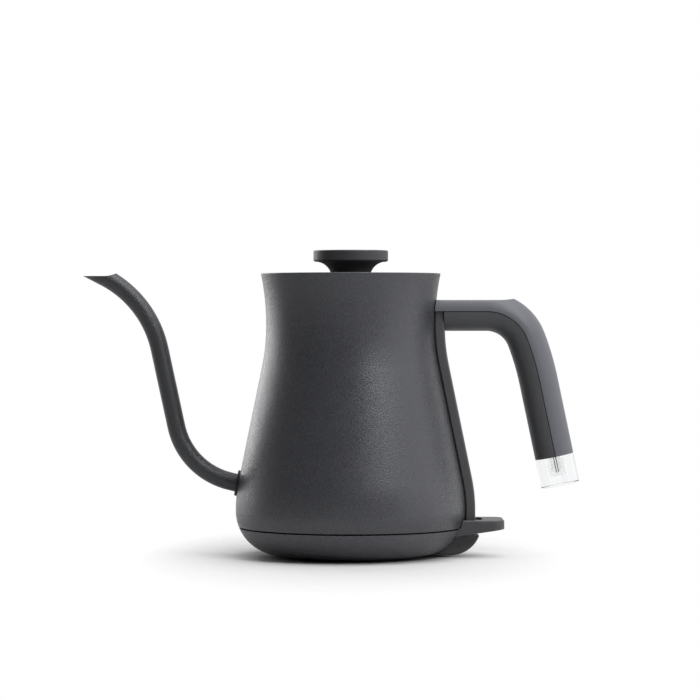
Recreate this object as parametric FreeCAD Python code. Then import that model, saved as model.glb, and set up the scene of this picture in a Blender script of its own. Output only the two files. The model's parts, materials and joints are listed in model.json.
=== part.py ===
import FreeCAD, Part
import math
import os

os.makedirs("parts", exist_ok=True)

V = FreeCAD.Vector
UP = V(0, 0, 1)
ALONG_X = V(1, 0, 0)
ALONG_Y = V(0, 1, 0)

# Body outline, from the table up
FOOT_DROP = 1.0
BOTTOM_CURVE = 24.0
BELLY_RADIUS = 62.7
BELLY_CURVE = 85.0
WAIST_RADIUS = 46.1
WAIST_CURVE = 110.0
NECK_HEIGHT = 28.25
RIM_HEIGHT = 154.25
RIM_FLARE = 2.85
SHELL_WALL = 0.9

# Seam between body and lower housing
SEAM_HEIGHT = 16.1
SEAM_GAP = 0.85
SEAM_RECESS = 0.6

# Spout
SPOUT_DIAMETER = 9.8
SPOUT_WALL = 0.7
SPOUT_ROOT_HEIGHT = 39.85
SPOUT_ROOT_ANGLE = 13.8
SPOUT_ROOT_LENGTH = 4.85
SPOUT_LOW_BEND = 39.2
SPOUT_RISER_LEAN = 12.15
SPOUT_HIGH_BEND = 57.7
SPOUT_TIP_ANGLE = 27.5
SPOUT_TIP_LENGTH = 16.0
SPOUT_MOUTH_DROP = 1.45
SPOUT_MOUTH_RISE = 0.7
SPOUT_MOUTH_CURVE = 13.5
COLLAR_DIAMETER = 14.0
COLLAR_THICKNESS = 1.3
COLLAR_EDGE = 0.5

# Lid and knob
LID_RECESS = 6.5
LID_THICKNESS = 1.4
LID_GAP = 0.9
LID_PAN_DEPTH = 7.6
LID_PAN_WALL = 0.8
LID_PAN_INSET = 4.6
LID_GASKET_HEIGHT = 1.0
LID_GASKET_WIDTH = 2.2
VENT_DIAMETER = 3.2
VENT_COUNT = 3
VENT_ANGLE = 14.0
LEDGE_WIDTH = 4.2
LEDGE_THICKNESS = 1.0
LEDGE_SKIRT = 4.5
KNOB_DIAMETER = 40.7
KNOB_THICKNESS = 5.9
KNOB_EDGE = 0.7
KNOB_RISE = 6.6
STEM_RADIUS = 10.9
STEM_BRIM = 0.8
WASHER_THICKNESS = 0.8
KNOB_SCREW_RADIUS = 2.0
KNOB_SCREW_LENGTH = 8.0

# Vessel floor and heater
FLOOR_HEIGHT = 30.0
FLOOR_THICKNESS = 0.8
FLOOR_SKIRT = 6.5
SPREADER_EDGE = 5.0
SPREADER_THICKNESS = 2.4
ELEMENT_INSET = 12.7
ELEMENT_TUBE_RADIUS = 3.3
ELEMENT_GAP_ANGLE = 40.0
TERMINAL_RADIUS = 1.2
TERMINAL_BEND = 6.0
TERMINAL_REACH = 3.0

# Lower housing and underside
HOUSING_WALL = 2.0
SPIGOT_HEIGHT = 3.0
SPIGOT_FIT = 0.25
COVER_THICKNESS = 2.2
COVER_EDGE = 1.0
COVER_FIT = 0.2
LEDGE_PLATE = 1.8
LEDGE_PLATE_GAP = 1.2
FOOT_INSET = 2.5
FOOT_WIDTH = 4.0
FOOT_GROOVE = 0.8
POST_RADIUS = 2.6
POST_INSET = 0.6
POST_ANGLES = (90, 180, 270)
BASE_SCREW_RADIUS = 1.4
BASE_SCREW_LENGTH = 7.0
BASE_HEAD_RADIUS = 2.5
BASE_HEAD_HEIGHT = 1.3
HEAD_ROOM = 0.2

# Cordless inlet
SOCKET_MOUTH_RADIUS = 16.0
SOCKET_RADIUS = 15.0
SOCKET_WALL = 2.3
SOCKET_ROOF = 1.6
SPIGOT_RADIUS = 5.5
SPIGOT_SET_BACK = 1.0
CENTRE_PIN_RADIUS = 1.9
CENTRE_HOLE_RADIUS = 2.2
RING_CONTACT_WALL = 0.7
RING_CONTACT_SET_BACK = 2.8

# Control block
CONTROL_BOTTOM = 15.0
CONTROL_FRONT = 17.5
CONTROL_WIDTH = 36.0
CONTROL_CORNER = 4.0
DISC_RADIUS = 6.0
DISC_THICKNESS = 0.4
CONTACT_ROOM_WIDTH = 19.0
CONTACT_ROOM_LENGTH = 10.5
CONTACT_COVER = 0.5
CONTACT_SPREAD = 6.0
CONTACT_BUTTON_RADIUS = 1.2
CONTACT_BUTTON_HEIGHT = 0.55
CONTACT_GAP = 0.2
STRIP_WIDTH = 2.8
STRIP_THICKNESS = 0.6
CONTROL_SCREW_RADIUS = 1.3
CONTROL_HEAD_HEIGHT = 1.4

# Switch lever and plunger
LEVER_PIVOT_INSET = 12.7
LEVER_PIVOT_HEIGHT = 13.0
LEVER_PIN_RADIUS = 1.5
LEVER_TRAVEL = 5.5
LEVER_REACH = 20.6
LEVER_WIDTH = 32.0
LEVER_TOP = 20.5
LEVER_END_THICKNESS = 4.8
LEVER_SLOPE = 8.3
LEVER_CORNER = 6.5
LEVER_EDGE = 0.9
LEVER_HOLE_MARGIN = 0.7
LEVER_HOLE_BEHIND = 3.7
LEVER_EDGE_GAP = 0.4
LEVER_BODY_GAP = 0.4
LEVER_BAR_LENGTH = 4.0
LEVER_BAR_HEIGHT = 2.6
LEVER_TOE_WIDTH = 6.0
LEVER_TOE_THICKNESS = 1.6
LEVER_SLOT_GAP = 0.7
PLUNGER_ARM = 14.0
PLUNGER_RADIUS = 1.6
PLUNGER_GAP = 0.3
PLUNGER_HEAD = 0.6
BRIDGE_LENGTH = 5.0
SPRING_RADIUS = 1.9
SPRING_WIRE = 0.3
SPRING_TURNS = 2.5
RUNNING_FIT = 0.05

# Tail housing
TAIL_WIDTH = 17.0
TAIL_WALL = 1.6
TAIL_CURVE = 16.5
TAIL_TURN_INSET = 8.3
TAIL_BOTTOM = 1.2
TAIL_DROP = 4.5
TAIL_STEP_INSET = 8.2
TAIL_EDGE = 1.2
TAIL_GAP = 0.3
TAIL_SCREW_SPREAD = 5.5
BOSS_LENGTH = 6.0
BOSS_WIDTH = 6.4
BOSS_CROWN = 2.5
BIMETAL_INSET = 4.2
BIMETAL_RADIUS = 5.0
CARRIER_HEIGHT = 3.8

# Spine cover and what runs in it
SPINE_DEPTH = 5.2
SPINE_WIDTH = 17.2
SPINE_WALL = 1.3
SPINE_GAP = 0.9
SPINE_LIP_INSET = 0.55
SPINE_LIP_GAP = 0.35
SPINE_HANDLE_GAP = 0.25
SPINE_EDGE = 0.8
DUCT_CENTRE = 1.95
STEAM_TUBE_RADIUS = 1.5
STEAM_TUBE_BORE = 1.0
STEAM_TUBE_SIDE = 3.9
STEAM_PORT_DROP = 10.0
STEAM_BEND = 3.2
GROMMET_WALL = 0.7
GROMMET_LIP = 0.7
LEAD_RADIUS = 0.55
LEAD_SIDE = 4.9
LEAD_PITCH = 1.4
LEAD_GAP = 1.0
LEAD_BEND = 4.0

# Handle
HANDLE_DIAMETER = 21.1
HANDLE_WALL = 2.3
HANDLE_DROP = 20.8
HANDLE_FLAT_RISE = 6.3
HANDLE_FLAT_EDGE = 2.2
HANDLE_REACH = 27.8
HANDLE_BEND = 23.3
THUMB_START = 7.0
THUMB_CURVE = 42.0
GRIP_BEND = 150.0
GRIP_SWEEP = 9.15
GRIP_LEAN = 11.85
GRIP_LENGTH = 41.75
HANDLE_SEAM = 0.45
LIP_HEIGHT = 1.3
LIP_ROOM = 0.3
LIP_WALL = 1.0
HANDLE_BODY_GAP = 0.5
BRACKET_WIDTH = 6.0
BRACKET_PLATE = 1.2
BRACKET_TONGUE = 2.0
BRACKET_DROP = 14.0
HANDLE_SCREW_RADIUS = 1.4
HANDLE_HEAD_RADIUS = 2.5
HANDLE_HEAD_HEIGHT = 1.4
HANDLE_SCREW_INSET = 5.0
HANDLE_SCREW_PITCH = 8.5

# Lamp in the grip's end
CAP_LENGTH = 16.0
CAP_EDGE = 0.5
CAP_SPIGOT = 6.0
CAP_POCKET_RADIUS = 4.6
CAP_POCKET_DEPTH = 11.0
HOLDER_THICKNESS = 3.0
BULB_RADIUS = 3.1
BULB_LENGTH = 8.0
BULB_GLASS = 0.45
ELECTRODE_RADIUS = 0.3
ELECTRODE_SPREAD = 1.2
ELECTRODE_LENGTH = 6.3
SLIP_FIT = 0.05


def rad(degrees):
    """Degrees as radians."""
    return math.radians(degrees)


# Sizes that follow from the body outline
BASE_HEIGHT = FOOT_DROP
BELLY_HEIGHT = BASE_HEIGHT + BOTTOM_CURVE
WAIST_HEIGHT = RIM_HEIGHT - NECK_HEIGHT
RIM_CURVE = ((RIM_HEIGHT - WAIST_HEIGHT) ** 2 + RIM_FLARE ** 2) / (2 * RIM_FLARE)
SPREAD = WAIST_CURVE + BELLY_CURVE
SWELL = BELLY_RADIUS - WAIST_RADIUS
FALL = WAIST_HEIGHT - BELLY_HEIGHT
CONE_LENGTH = math.sqrt(max(FALL ** 2 + SWELL ** 2 - 2 * SPREAD * SWELL, 1.0))
CONE_ANGLE = math.atan2(FALL, SPREAD - SWELL) - math.atan2(CONE_LENGTH, SPREAD)
BASE_RADIUS = BELLY_RADIUS - BOTTOM_CURVE
COVER_RADIUS = BASE_RADIUS - COVER_EDGE - COVER_FIT
FOOT_OUTER = COVER_RADIUS - FOOT_INSET
FOOT_INNER = FOOT_OUTER - FOOT_WIDTH
POST_CIRCLE = FOOT_INNER - BASE_HEAD_RADIUS - HEAD_ROOM - POST_INSET
LEDGE_PLATE_HOLE = SOCKET_RADIUS + SOCKET_WALL + LEDGE_PLATE_GAP

# Heights that follow from the stack of plates
COVER_TOP = BASE_HEIGHT + COVER_THICKNESS
SEAT_TOP = COVER_TOP + LEDGE_PLATE
SPREADER_TOP = FLOOR_HEIGHT - FLOOR_THICKNESS
SPREADER_BOTTOM = SPREADER_TOP - SPREADER_THICKNESS
CONTROL_TOP = SPREADER_BOTTOM - DISC_THICKNESS
CONTROL_SEAT = CONTROL_BOTTOM + CONTROL_HEAD_HEIGHT + HEAD_ROOM
ELEMENT_RING_RADIUS = BELLY_RADIUS - ELEMENT_INSET
SPREADER_RADIUS = ELEMENT_RING_RADIUS + SPREADER_EDGE
ELEMENT_HEIGHT = SPREADER_BOTTOM - ELEMENT_TUBE_RADIUS - SLIP_FIT
LID_BOTTOM = RIM_HEIGHT - LID_RECESS
LID_TOP = LID_BOTTOM + LID_THICKNESS
LEDGE_TOP = LID_BOTTOM - LID_GASKET_HEIGHT
KNOB_BOTTOM = RIM_HEIGHT + KNOB_RISE

# Places that follow for the lever, the plunger and the tail
LEVER_PIVOT_X = BELLY_RADIUS - LEVER_PIVOT_INSET
LEVER_END = BELLY_RADIUS + LEVER_REACH
LEVER_ARM_TOP = SEAM_HEIGHT + SEAM_GAP / 2 - LEVER_EDGE_GAP
PLUNGER_X = LEVER_PIVOT_X - PLUNGER_ARM
PLUNGER_LIFT = PLUNGER_ARM * rad(LEVER_TRAVEL)
STRIP_BOTTOM = CONTROL_TOP - CONTACT_COVER - STRIP_THICKNESS
CLOSED_GAP = CONTACT_BUTTON_HEIGHT + CONTACT_GAP + PLUNGER_LIFT
PLUNGER_TOP = STRIP_BOTTOM - CONTACT_BUTTON_HEIGHT - CLOSED_GAP - STRIP_THICKNESS
CONTACT_ROOM_FLOOR = PLUNGER_TOP - PLUNGER_HEAD - PLUNGER_GAP
BAR_TOP = LEVER_PIVOT_HEIGHT
BAR_BOTTOM = BAR_TOP - LEVER_BAR_HEIGHT
BAR_START = LEVER_PIVOT_X - BOSS_LENGTH / 2 - 1.0 - LEVER_BAR_LENGTH
TOE_TOP = BAR_BOTTOM + LEVER_TOE_THICKNESS
LEAD_LOW = BAR_BOTTOM - LEAD_GAP
TAIL_FRONT = BASE_RADIUS + TAIL_GAP
TAIL_TOP = SEAM_HEIGHT - TAIL_DROP
TAIL_LOW_TOP = LEAD_LOW - LEAD_RADIUS - TAIL_GAP
TAIL_LOW_END = BELLY_RADIUS - TAIL_STEP_INSET
TAIL_TURN_X = BELLY_RADIUS - TAIL_TURN_INSET
BIMETAL_X = BELLY_RADIUS - BIMETAL_INSET
STEAM_PORT_HEIGHT = WAIST_HEIGHT - STEAM_PORT_DROP
CONTROL_BACK = PLUNGER_X + CONTACT_ROOM_LENGTH / 2 + 1.3

# Places that follow for the handle
HANDLE_AXIS_HEIGHT = RIM_HEIGHT - HANDLE_DROP
HANDLE_BEND_START = WAIST_RADIUS + HANDLE_REACH
HANDLE_BEND_ANGLE = 90 - GRIP_SWEEP - GRIP_LEAN
HANDLE_RADIUS = HANDLE_DIAMETER / 2
HANDLE_BORE = HANDLE_RADIUS - HANDLE_WALL
TONGUE_BOTTOM = HANDLE_AXIS_HEIGHT - HANDLE_BORE / 2


def wall_radius(z, offset=0.0):
    """Radius of the body's outer face at a height, moved out by an offset."""
    cone_top = WAIST_HEIGHT - (WAIST_CURVE - offset) * math.sin(CONE_ANGLE)
    cone_foot = BELLY_HEIGHT + (BELLY_CURVE + offset) * math.sin(CONE_ANGLE)
    if z >= WAIST_HEIGHT:
        drop = math.sqrt((RIM_CURVE - offset) ** 2 - (z - WAIST_HEIGHT) ** 2)
        return WAIST_RADIUS + RIM_CURVE - drop
    if z >= cone_top:
        drop = math.sqrt((WAIST_CURVE - offset) ** 2 - (z - WAIST_HEIGHT) ** 2)
        return WAIST_RADIUS + WAIST_CURVE - drop
    if z >= cone_foot:
        top = wall_radius(cone_top, offset)
        return top + (cone_top - z) * math.tan(CONE_ANGLE)
    if z >= BELLY_HEIGHT:
        reach = math.sqrt((BELLY_CURVE + offset) ** 2 - (z - BELLY_HEIGHT) ** 2)
        return BELLY_RADIUS - BELLY_CURVE + reach
    reach = math.sqrt(max((BOTTOM_CURVE + offset) ** 2 - (z - BELLY_HEIGHT) ** 2, 0.0))
    return BELLY_RADIUS - BOTTOM_CURVE + reach


def wall_lean(z, offset=0.0):
    """Angle by which the wall leans in on its way up, in radians."""
    step = 0.001
    return math.atan2(wall_radius(z - step, offset) - wall_radius(z + step, offset), 2 * step)


def wall_edges(offset, z_high, z_low, y=0.0):
    """Edges of the offset body outline from a high point down to a low one."""
    breaks = [
        WAIST_HEIGHT,
        WAIST_HEIGHT - (WAIST_CURVE - offset) * math.sin(CONE_ANGLE),
        BELLY_HEIGHT + (BELLY_CURVE + offset) * math.sin(CONE_ANGLE),
        BELLY_HEIGHT,
    ]
    heights = [z_high] + [z for z in breaks if z_low + 0.01 < z < z_high - 0.01] + [z_low]
    edges = []
    for top, foot in zip(heights[:-1], heights[1:]):
        middle = (top + foot) / 2
        points = [V(wall_radius(z, offset), y, z) for z in (top, middle, foot)]
        straight = points[0].add(points[2]).multiply(0.5).sub(points[1]).Length < 1e-5
        if straight:
            edges.append(Part.makeLine(points[0], points[2]))
        else:
            edges.append(Part.Arc(*points).toShape())
    return edges


def polyline(points):
    """Straight edges through points given as (x, z) or (radius, height)."""
    corners = [V(x, 0, z) for x, z in points]
    return [Part.makeLine(a, b) for a, b in zip(corners[:-1], corners[1:])]


def face_of(edges):
    """Flat face inside a closed ring of edges."""
    return Part.Face(Part.Wire(Part.__sortEdges__(edges)))


def turned(edges):
    """Solid turned about the vertical axis from a closed outline."""
    return face_of(edges).revolve(V(0, 0, 0), UP, 360)


def turned_points(points):
    """Solid turned about the vertical axis from (radius, height) points."""
    return turned(polyline(points + points[:1]))


def slab(points, width):
    """Side outline in (x, z) given a thickness across, centred on y = 0."""
    return slab_edges(polyline(points + points[:1]), width)


def slab_edges(edges, width):
    """Side outline made of edges given a thickness across, centred on y = 0."""
    face = face_of(edges)
    face.translate(V(0, -width / 2, 0))
    return face.extrude(V(0, width, 0))


def block(x0, x1, width, z0, z1):
    """Box centred on y = 0."""
    return Part.makeBox(x1 - x0, width, z1 - z0, V(x0, -width / 2, z0))


def rod(radius, start, end):
    """Round bar between two points."""
    return Part.makeCylinder(radius, end.sub(start).Length, start, end.sub(start))


def envelope(offset, z_high, z_low, tapered=False):
    """Solid inside the offset body outline, straight-sided below the belly unless tapered."""
    foot = z_low if tapered else max(z_low, BELLY_HEIGHT)
    edges = wall_edges(offset, z_high, foot)
    points = [(wall_radius(foot, offset), foot)]
    if z_low < foot:
        points.append((wall_radius(foot, offset), z_low))
    points += [(0, z_low), (0, z_high), (wall_radius(z_high, offset), z_high)]
    return turned(edges + polyline(points))


class Route:
    """Line and arc route in an upright or level plane, walked like a path."""

    def __init__(self, u, v, heading, place):
        self.u = u
        self.v = v
        self.heading = heading
        self.place = place
        self.start = place(u, v)
        self.start_heading = heading
        self.edges = []

    def forward(self, length):
        """Walk straight on."""
        u = self.u + length * math.cos(rad(self.heading))
        v = self.v + length * math.sin(rad(self.heading))
        self.edges.append(Part.makeLine(self.place(self.u, self.v), self.place(u, v)))
        self.u, self.v = u, v
        return self

    def turn(self, radius, degrees):
        """Walk along an arc, to the left for a positive angle."""
        side = 1 if degrees > 0 else -1
        cu = self.u - side * radius * math.sin(rad(self.heading))
        cv = self.v + side * radius * math.cos(rad(self.heading))
        points = []
        for share in (0, 0.5, 1):
            angle = rad(self.heading + degrees * share)
            point = (cu + side * radius * math.sin(angle), cv - side * radius * math.cos(angle))
            points.append(point)
        self.edges.append(Part.Arc(*[self.place(*p) for p in points]).toShape())
        self.u, self.v = points[2]
        self.heading += degrees
        return self

    def climb(self, offset, z_high):
        """Follow the body's wall upward at an offset, from the belly."""
        walls = wall_edges(offset, z_high, self.v, self.place(0, 0).y)
        self.edges += list(reversed(walls))
        self.u, self.v = wall_radius(z_high, offset), z_high
        self.heading = 90 + math.degrees(wall_lean(z_high, offset))
        return self

    def tube(self, radius):
        """Round bar along the whole route."""
        ahead = self.place(
            math.cos(rad(self.start_heading)), math.sin(rad(self.start_heading))
        ).sub(self.place(0, 0))
        ring = Part.Wire([Part.makeCircle(radius, self.start, ahead)])
        wire = Part.Wire(self.edges)
        return Part.Solid(wire.makePipe(Part.Face(ring)).Shells[0])


def side_plane(y):
    """Upright plane across the kettle at a distance from its middle."""
    return lambda x, z: V(x, y, z)


def turned_to(solid, angle):
    """Copy of a solid turned round the vertical axis."""
    copy = solid.copy()
    copy.rotate(V(0, 0, 0), UP, angle)
    return copy


def ring_of(solid, count):
    """Copies of a solid spaced evenly round the vertical axis."""
    return [turned_to(solid, 360.0 * index / count) for index in range(count)]


def edges_where(solid, test):
    """Edges of a solid that pass a test."""
    return [edge for edge in solid.Edges if test(edge)]


def flanged_plate(top, thickness, skirt, hole):
    """Plate across the vessel with a skirt lying against the wall."""
    outer = SHELL_WALL + SLIP_FIT
    inner = outer + thickness
    low = top - skirt
    outside = wall_edges(-outer, top, low)
    inside = wall_edges(-inner, top - thickness, low)
    bottom = polyline([(wall_radius(low, -outer), low), (wall_radius(low, -inner), low)])
    web = polyline(
        [
            (wall_radius(top - thickness, -inner), top - thickness),
            (hole, top - thickness),
            (hole, top),
            (wall_radius(top, -outer), top),
        ]
    )
    return turned(outside + bottom + inside + web)


# Body, spout and mouth


def spout_route():
    """Middle line of the spout and the height of its mouth."""
    place = lambda u, z: V(-u, 0, z)
    reach = 6.0
    root = wall_radius(SPOUT_ROOT_HEIGHT)
    u = root - reach * math.cos(rad(SPOUT_ROOT_ANGLE))
    z = SPOUT_ROOT_HEIGHT - reach * math.sin(rad(SPOUT_ROOT_ANGLE))
    route = Route(u, z, SPOUT_ROOT_ANGLE, place)
    route.forward(reach + SPOUT_ROOT_LENGTH)
    route.turn(SPOUT_LOW_BEND, 90 - SPOUT_RISER_LEAN - SPOUT_ROOT_ANGLE)
    lean = rad(SPOUT_RISER_LEAN)
    high_rise = SPOUT_HIGH_BEND * (math.cos(rad(SPOUT_TIP_ANGLE)) - math.sin(lean))
    mouth_height = RIM_HEIGHT - SPOUT_MOUTH_DROP
    route.forward((mouth_height - SPOUT_MOUTH_RISE - high_rise - route.v) / math.cos(lean))
    route.turn(SPOUT_HIGH_BEND, -(90 - SPOUT_RISER_LEAN - SPOUT_TIP_ANGLE))
    mouth = (route.u, route.v + SPOUT_MOUTH_RISE)
    route.forward(SPOUT_TIP_LENGTH)
    return route, mouth


def spout_root_axis():
    """Point on the wall and direction of the spout's root, pointing out."""
    point = V(-wall_radius(SPOUT_ROOT_HEIGHT), 0, SPOUT_ROOT_HEIGHT)
    angle = rad(SPOUT_ROOT_ANGLE)
    return point, V(-math.cos(angle), 0, math.sin(angle))


def make_spout():
    """Bent tube, open into the vessel, its mouth cut level with a raised heel."""
    route, mouth = spout_route()
    outer = route.tube(SPOUT_DIAMETER / 2)
    bore = route.tube(SPOUT_DIAMETER / 2 - SPOUT_WALL)
    tube = outer.cut(bore)
    inside = envelope(-SHELL_WALL, RIM_HEIGHT, BELLY_HEIGHT)
    u, z = mouth
    far = u + 2 * SPOUT_TIP_LENGTH
    high = z + 2 * SPOUT_TIP_LENGTH
    bend = SPOUT_MOUTH_CURVE
    heel = Part.Arc(
        V(-u, 0, z),
        V(-u + bend * math.sin(rad(45)), 0, z + bend * (1 - math.cos(rad(45)))),
        V(-u + bend, 0, z + bend),
    ).toShape()
    rest = polyline([(-u + bend, z + bend), (-u + bend, high), (-far, high), (-far, z), (-u, z)])
    above = slab_edges([heel] + rest, 3 * SPOUT_DIAMETER)
    return tube.cut([inside, above])


def make_spout_collar():
    """Thin ring lying on the wall round the spout's root."""
    point, out = spout_root_axis()
    span = out * COLLAR_DIAMETER
    plug = rod(COLLAR_DIAMETER / 2, point - span, point + span)
    layer = envelope(COLLAR_THICKNESS, WAIST_HEIGHT, BELLY_HEIGHT)
    ring = plug.common(layer)
    rims = edges_where(ring, lambda e: e.BoundBox.XMax < -wall_radius(SPOUT_ROOT_HEIGHT) + COLLAR_EDGE)
    ring = ring.makeFillet(COLLAR_EDGE, rims)
    hole = rod(SPOUT_DIAMETER / 2 + SLIP_FIT, point - span, point + span)
    return ring.cut([envelope(0, RIM_HEIGHT, 0), hole])


def steam_route():
    """Steam tube's middle line, up the spine and through the wall."""
    route = Route(BELLY_RADIUS + DUCT_CENTRE, LEAD_LOW, 90, side_plane(STEAM_TUBE_SIDE))
    route.forward(BELLY_HEIGHT - LEAD_LOW)
    bend_start = STEAM_PORT_HEIGHT - STEAM_BEND
    for _ in range(4):
        bend_start = STEAM_PORT_HEIGHT - STEAM_BEND * (1 - math.sin(wall_lean(bend_start, DUCT_CENTRE)))
    route.climb(DUCT_CENTRE, bend_start)
    route.turn(STEAM_BEND, 180 - route.heading)
    route.forward(2.2)
    return route


def steam_hole():
    """Round plug through the wall at the steam port."""
    x = wall_radius(STEAM_PORT_HEIGHT)
    reach = 5.0
    start = V(x - reach, STEAM_TUBE_SIDE, STEAM_PORT_HEIGHT)
    return rod(STEAM_TUBE_RADIUS + GROMMET_WALL, start, start + ALONG_X * (2 * reach))


def make_body_shell():
    """Thin turned wall with holes for spout and steam."""
    low = SEAM_HEIGHT + SEAM_GAP / 2
    outside = wall_edges(0, RIM_HEIGHT, low)
    inside = wall_edges(-SHELL_WALL, RIM_HEIGHT, low)
    bottom = polyline([(wall_radius(low), low), (wall_radius(low, -SHELL_WALL), low)])
    top = polyline(
        [(wall_radius(RIM_HEIGHT), RIM_HEIGHT), (wall_radius(RIM_HEIGHT, -SHELL_WALL), RIM_HEIGHT)]
    )
    shell = turned(outside + bottom + inside + top)
    rim = edges_where(
        shell, lambda e: abs(e.BoundBox.ZMin - RIM_HEIGHT) < 1e-4 and e.Length > WAIST_RADIUS
    )
    shell = shell.makeFillet(0.38 * SHELL_WALL, rim)
    point, out = spout_root_axis()
    span = out * COLLAR_DIAMETER
    hole = rod(SPOUT_DIAMETER / 2 + SLIP_FIT, point - span, point + span)
    return shell.cut([hole, steam_hole()])


def make_mouth_ring():
    """Ledge inside the mouth that carries the lid."""
    hole = wall_radius(LEDGE_TOP, -SHELL_WALL) - LEDGE_WIDTH
    return flanged_plate(LEDGE_TOP, LEDGE_THICKNESS, LEDGE_SKIRT, hole)


# Lid with its knob


def lid_radius():
    """Outer radius of the lid plate."""
    return wall_radius(LID_BOTTOM, -SHELL_WALL) - LID_GAP


def pan_radius():
    """Outer radius of the pan under the lid."""
    return lid_radius() - LID_PAN_INSET


def make_lid_plate():
    """Round plate with steam vents and a hole for the knob's screw."""
    plate = Part.makeCylinder(lid_radius(), LID_THICKNESS, V(0, 0, LID_BOTTOM))
    rims = edges_where(plate, lambda e: e.Length > lid_radius())
    plate = plate.makeFillet(LID_THICKNESS / 4, rims)
    vent_foot = V(-lid_radius() * 0.62, 0, LID_BOTTOM - 1)
    vent = Part.makeCylinder(VENT_DIAMETER / 2, 3 * LID_THICKNESS, vent_foot)
    vents = [turned_to(vent, VENT_ANGLE * (i - (VENT_COUNT - 1) / 2)) for i in range(VENT_COUNT)]
    hole = Part.makeCylinder(KNOB_SCREW_RADIUS + SLIP_FIT, 3 * LID_THICKNESS, V(0, 0, LID_BOTTOM - 1))
    return plate.cut(vents + [hole])


def make_lid_gasket():
    """Soft ring between lid plate and ledge."""
    outer = lid_radius() - LID_GAP
    inner = outer - LID_GASKET_WIDTH
    ring = Part.makeCylinder(outer, LID_GASKET_HEIGHT, V(0, 0, LEDGE_TOP))
    return ring.cut(Part.makeCylinder(inner, LID_GASKET_HEIGHT, V(0, 0, LEDGE_TOP)))


def make_lid_pan():
    """Shallow pan under the lid plate with vent holes in its floor."""
    outer = pan_radius()
    low = LID_BOTTOM - LID_PAN_DEPTH
    pan = Part.makeCylinder(outer, LID_PAN_DEPTH, V(0, 0, low))
    rims = edges_where(pan, lambda e: abs(e.BoundBox.ZMax - low) < 1e-4)
    pan = pan.makeFillet(2 * LID_PAN_WALL, rims)
    room = Part.makeCylinder(outer - LID_PAN_WALL, LID_PAN_DEPTH, V(0, 0, low + LID_PAN_WALL))
    floor_rim = edges_where(room, lambda e: abs(e.BoundBox.ZMax - low - LID_PAN_WALL) < 1e-4)
    room = room.makeFillet(LID_PAN_WALL, floor_rim)
    vent = Part.makeCylinder(VENT_DIAMETER / 2, 3 * LID_PAN_WALL, V(outer * 0.6, 0, low - LID_PAN_WALL))
    return pan.cut([room] + ring_of(vent, 2 * VENT_COUNT))


def make_knob_washer():
    """Soft washer under the knob's stem."""
    ring = Part.makeCylinder(STEM_RADIUS - STEM_BRIM, WASHER_THICKNESS, V(0, 0, LID_TOP))
    return ring.cut(Part.makeCylinder(KNOB_SCREW_RADIUS + SLIP_FIT, WASHER_THICKNESS, V(0, 0, LID_TOP)))


def make_knob_stem():
    """Trumpet-shaped stem, wide under the cap and narrow at the lid."""
    low = LID_TOP + WASHER_THICKNESS
    brim = KNOB_DIAMETER / 2 - STEM_BRIM
    start = KNOB_BOTTOM - KNOB_RISE
    swell = brim - STEM_RADIUS
    flare = Part.Arc(
        V(STEM_RADIUS, 0, start),
        V(STEM_RADIUS + 0.27 * swell, 0, start + 0.59 * KNOB_RISE),
        V(brim, 0, KNOB_BOTTOM - 0.25),
    ).toShape()
    hole = KNOB_SCREW_RADIUS + SLIP_FIT
    deep = LID_BOTTOM + LID_THICKNESS + KNOB_SCREW_LENGTH
    rest = polyline(
        [
            (brim, KNOB_BOTTOM - 0.25),
            (brim, KNOB_BOTTOM),
            (0, KNOB_BOTTOM),
            (0, deep),
            (hole, deep),
            (hole, low),
            (STEM_RADIUS, low),
            (STEM_RADIUS, start),
        ]
    )
    return turned([flare] + rest)


def make_knob_cap():
    """Flat disc on top of the stem."""
    disc = Part.makeCylinder(KNOB_DIAMETER / 2, KNOB_THICKNESS, V(0, 0, KNOB_BOTTOM))
    return disc.makeFillet(KNOB_EDGE, edges_where(disc, lambda e: e.Length > KNOB_DIAMETER))


def make_knob_screw():
    """Screw that holds the knob, its head under the lid plate."""
    head = Part.makeCylinder(2 * KNOB_SCREW_RADIUS, 2.0, V(0, 0, LID_BOTTOM - 2.0))
    shank = Part.makeCylinder(
        KNOB_SCREW_RADIUS, LID_THICKNESS + KNOB_SCREW_LENGTH - 0.5, V(0, 0, LID_BOTTOM)
    )
    slot = block(-3 * KNOB_SCREW_RADIUS, 3 * KNOB_SCREW_RADIUS, 0.8, LID_BOTTOM - 3.0, LID_BOTTOM - 1.2)
    return head.fuse(shank).cut(slot)


# Heater under the vessel floor


def make_floor_plate():
    """Vessel floor with a skirt welded to the wall."""
    return flanged_plate(FLOOR_HEIGHT, FLOOR_THICKNESS, FLOOR_SKIRT, 0.0)


def control_screw_places():
    """Where the control block is screwed to the heat spreader."""
    side = CONTROL_WIDTH / 2 - 4.5
    return [V(x, y, 0) for x in (-CONTROL_FRONT + 6.0, CONTROL_FRONT) for y in (-side, side)]


def make_heat_spreader():
    """Round plate that spreads the element's heat, tapped for the control."""
    plate = Part.makeCylinder(SPREADER_RADIUS, SPREADER_THICKNESS, V(0, 0, SPREADER_BOTTOM))
    depth = SPREADER_THICKNESS / 2
    holes = [
        Part.makeCylinder(CONTROL_SCREW_RADIUS + SLIP_FIT, depth, place + UP * SPREADER_BOTTOM)
        for place in control_screw_places()
    ]
    return plate.cut(holes)


def element_end():
    """Angle at which the element's ring ends, in degrees."""
    return 180.0 - ELEMENT_GAP_ANGLE / 2


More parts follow.
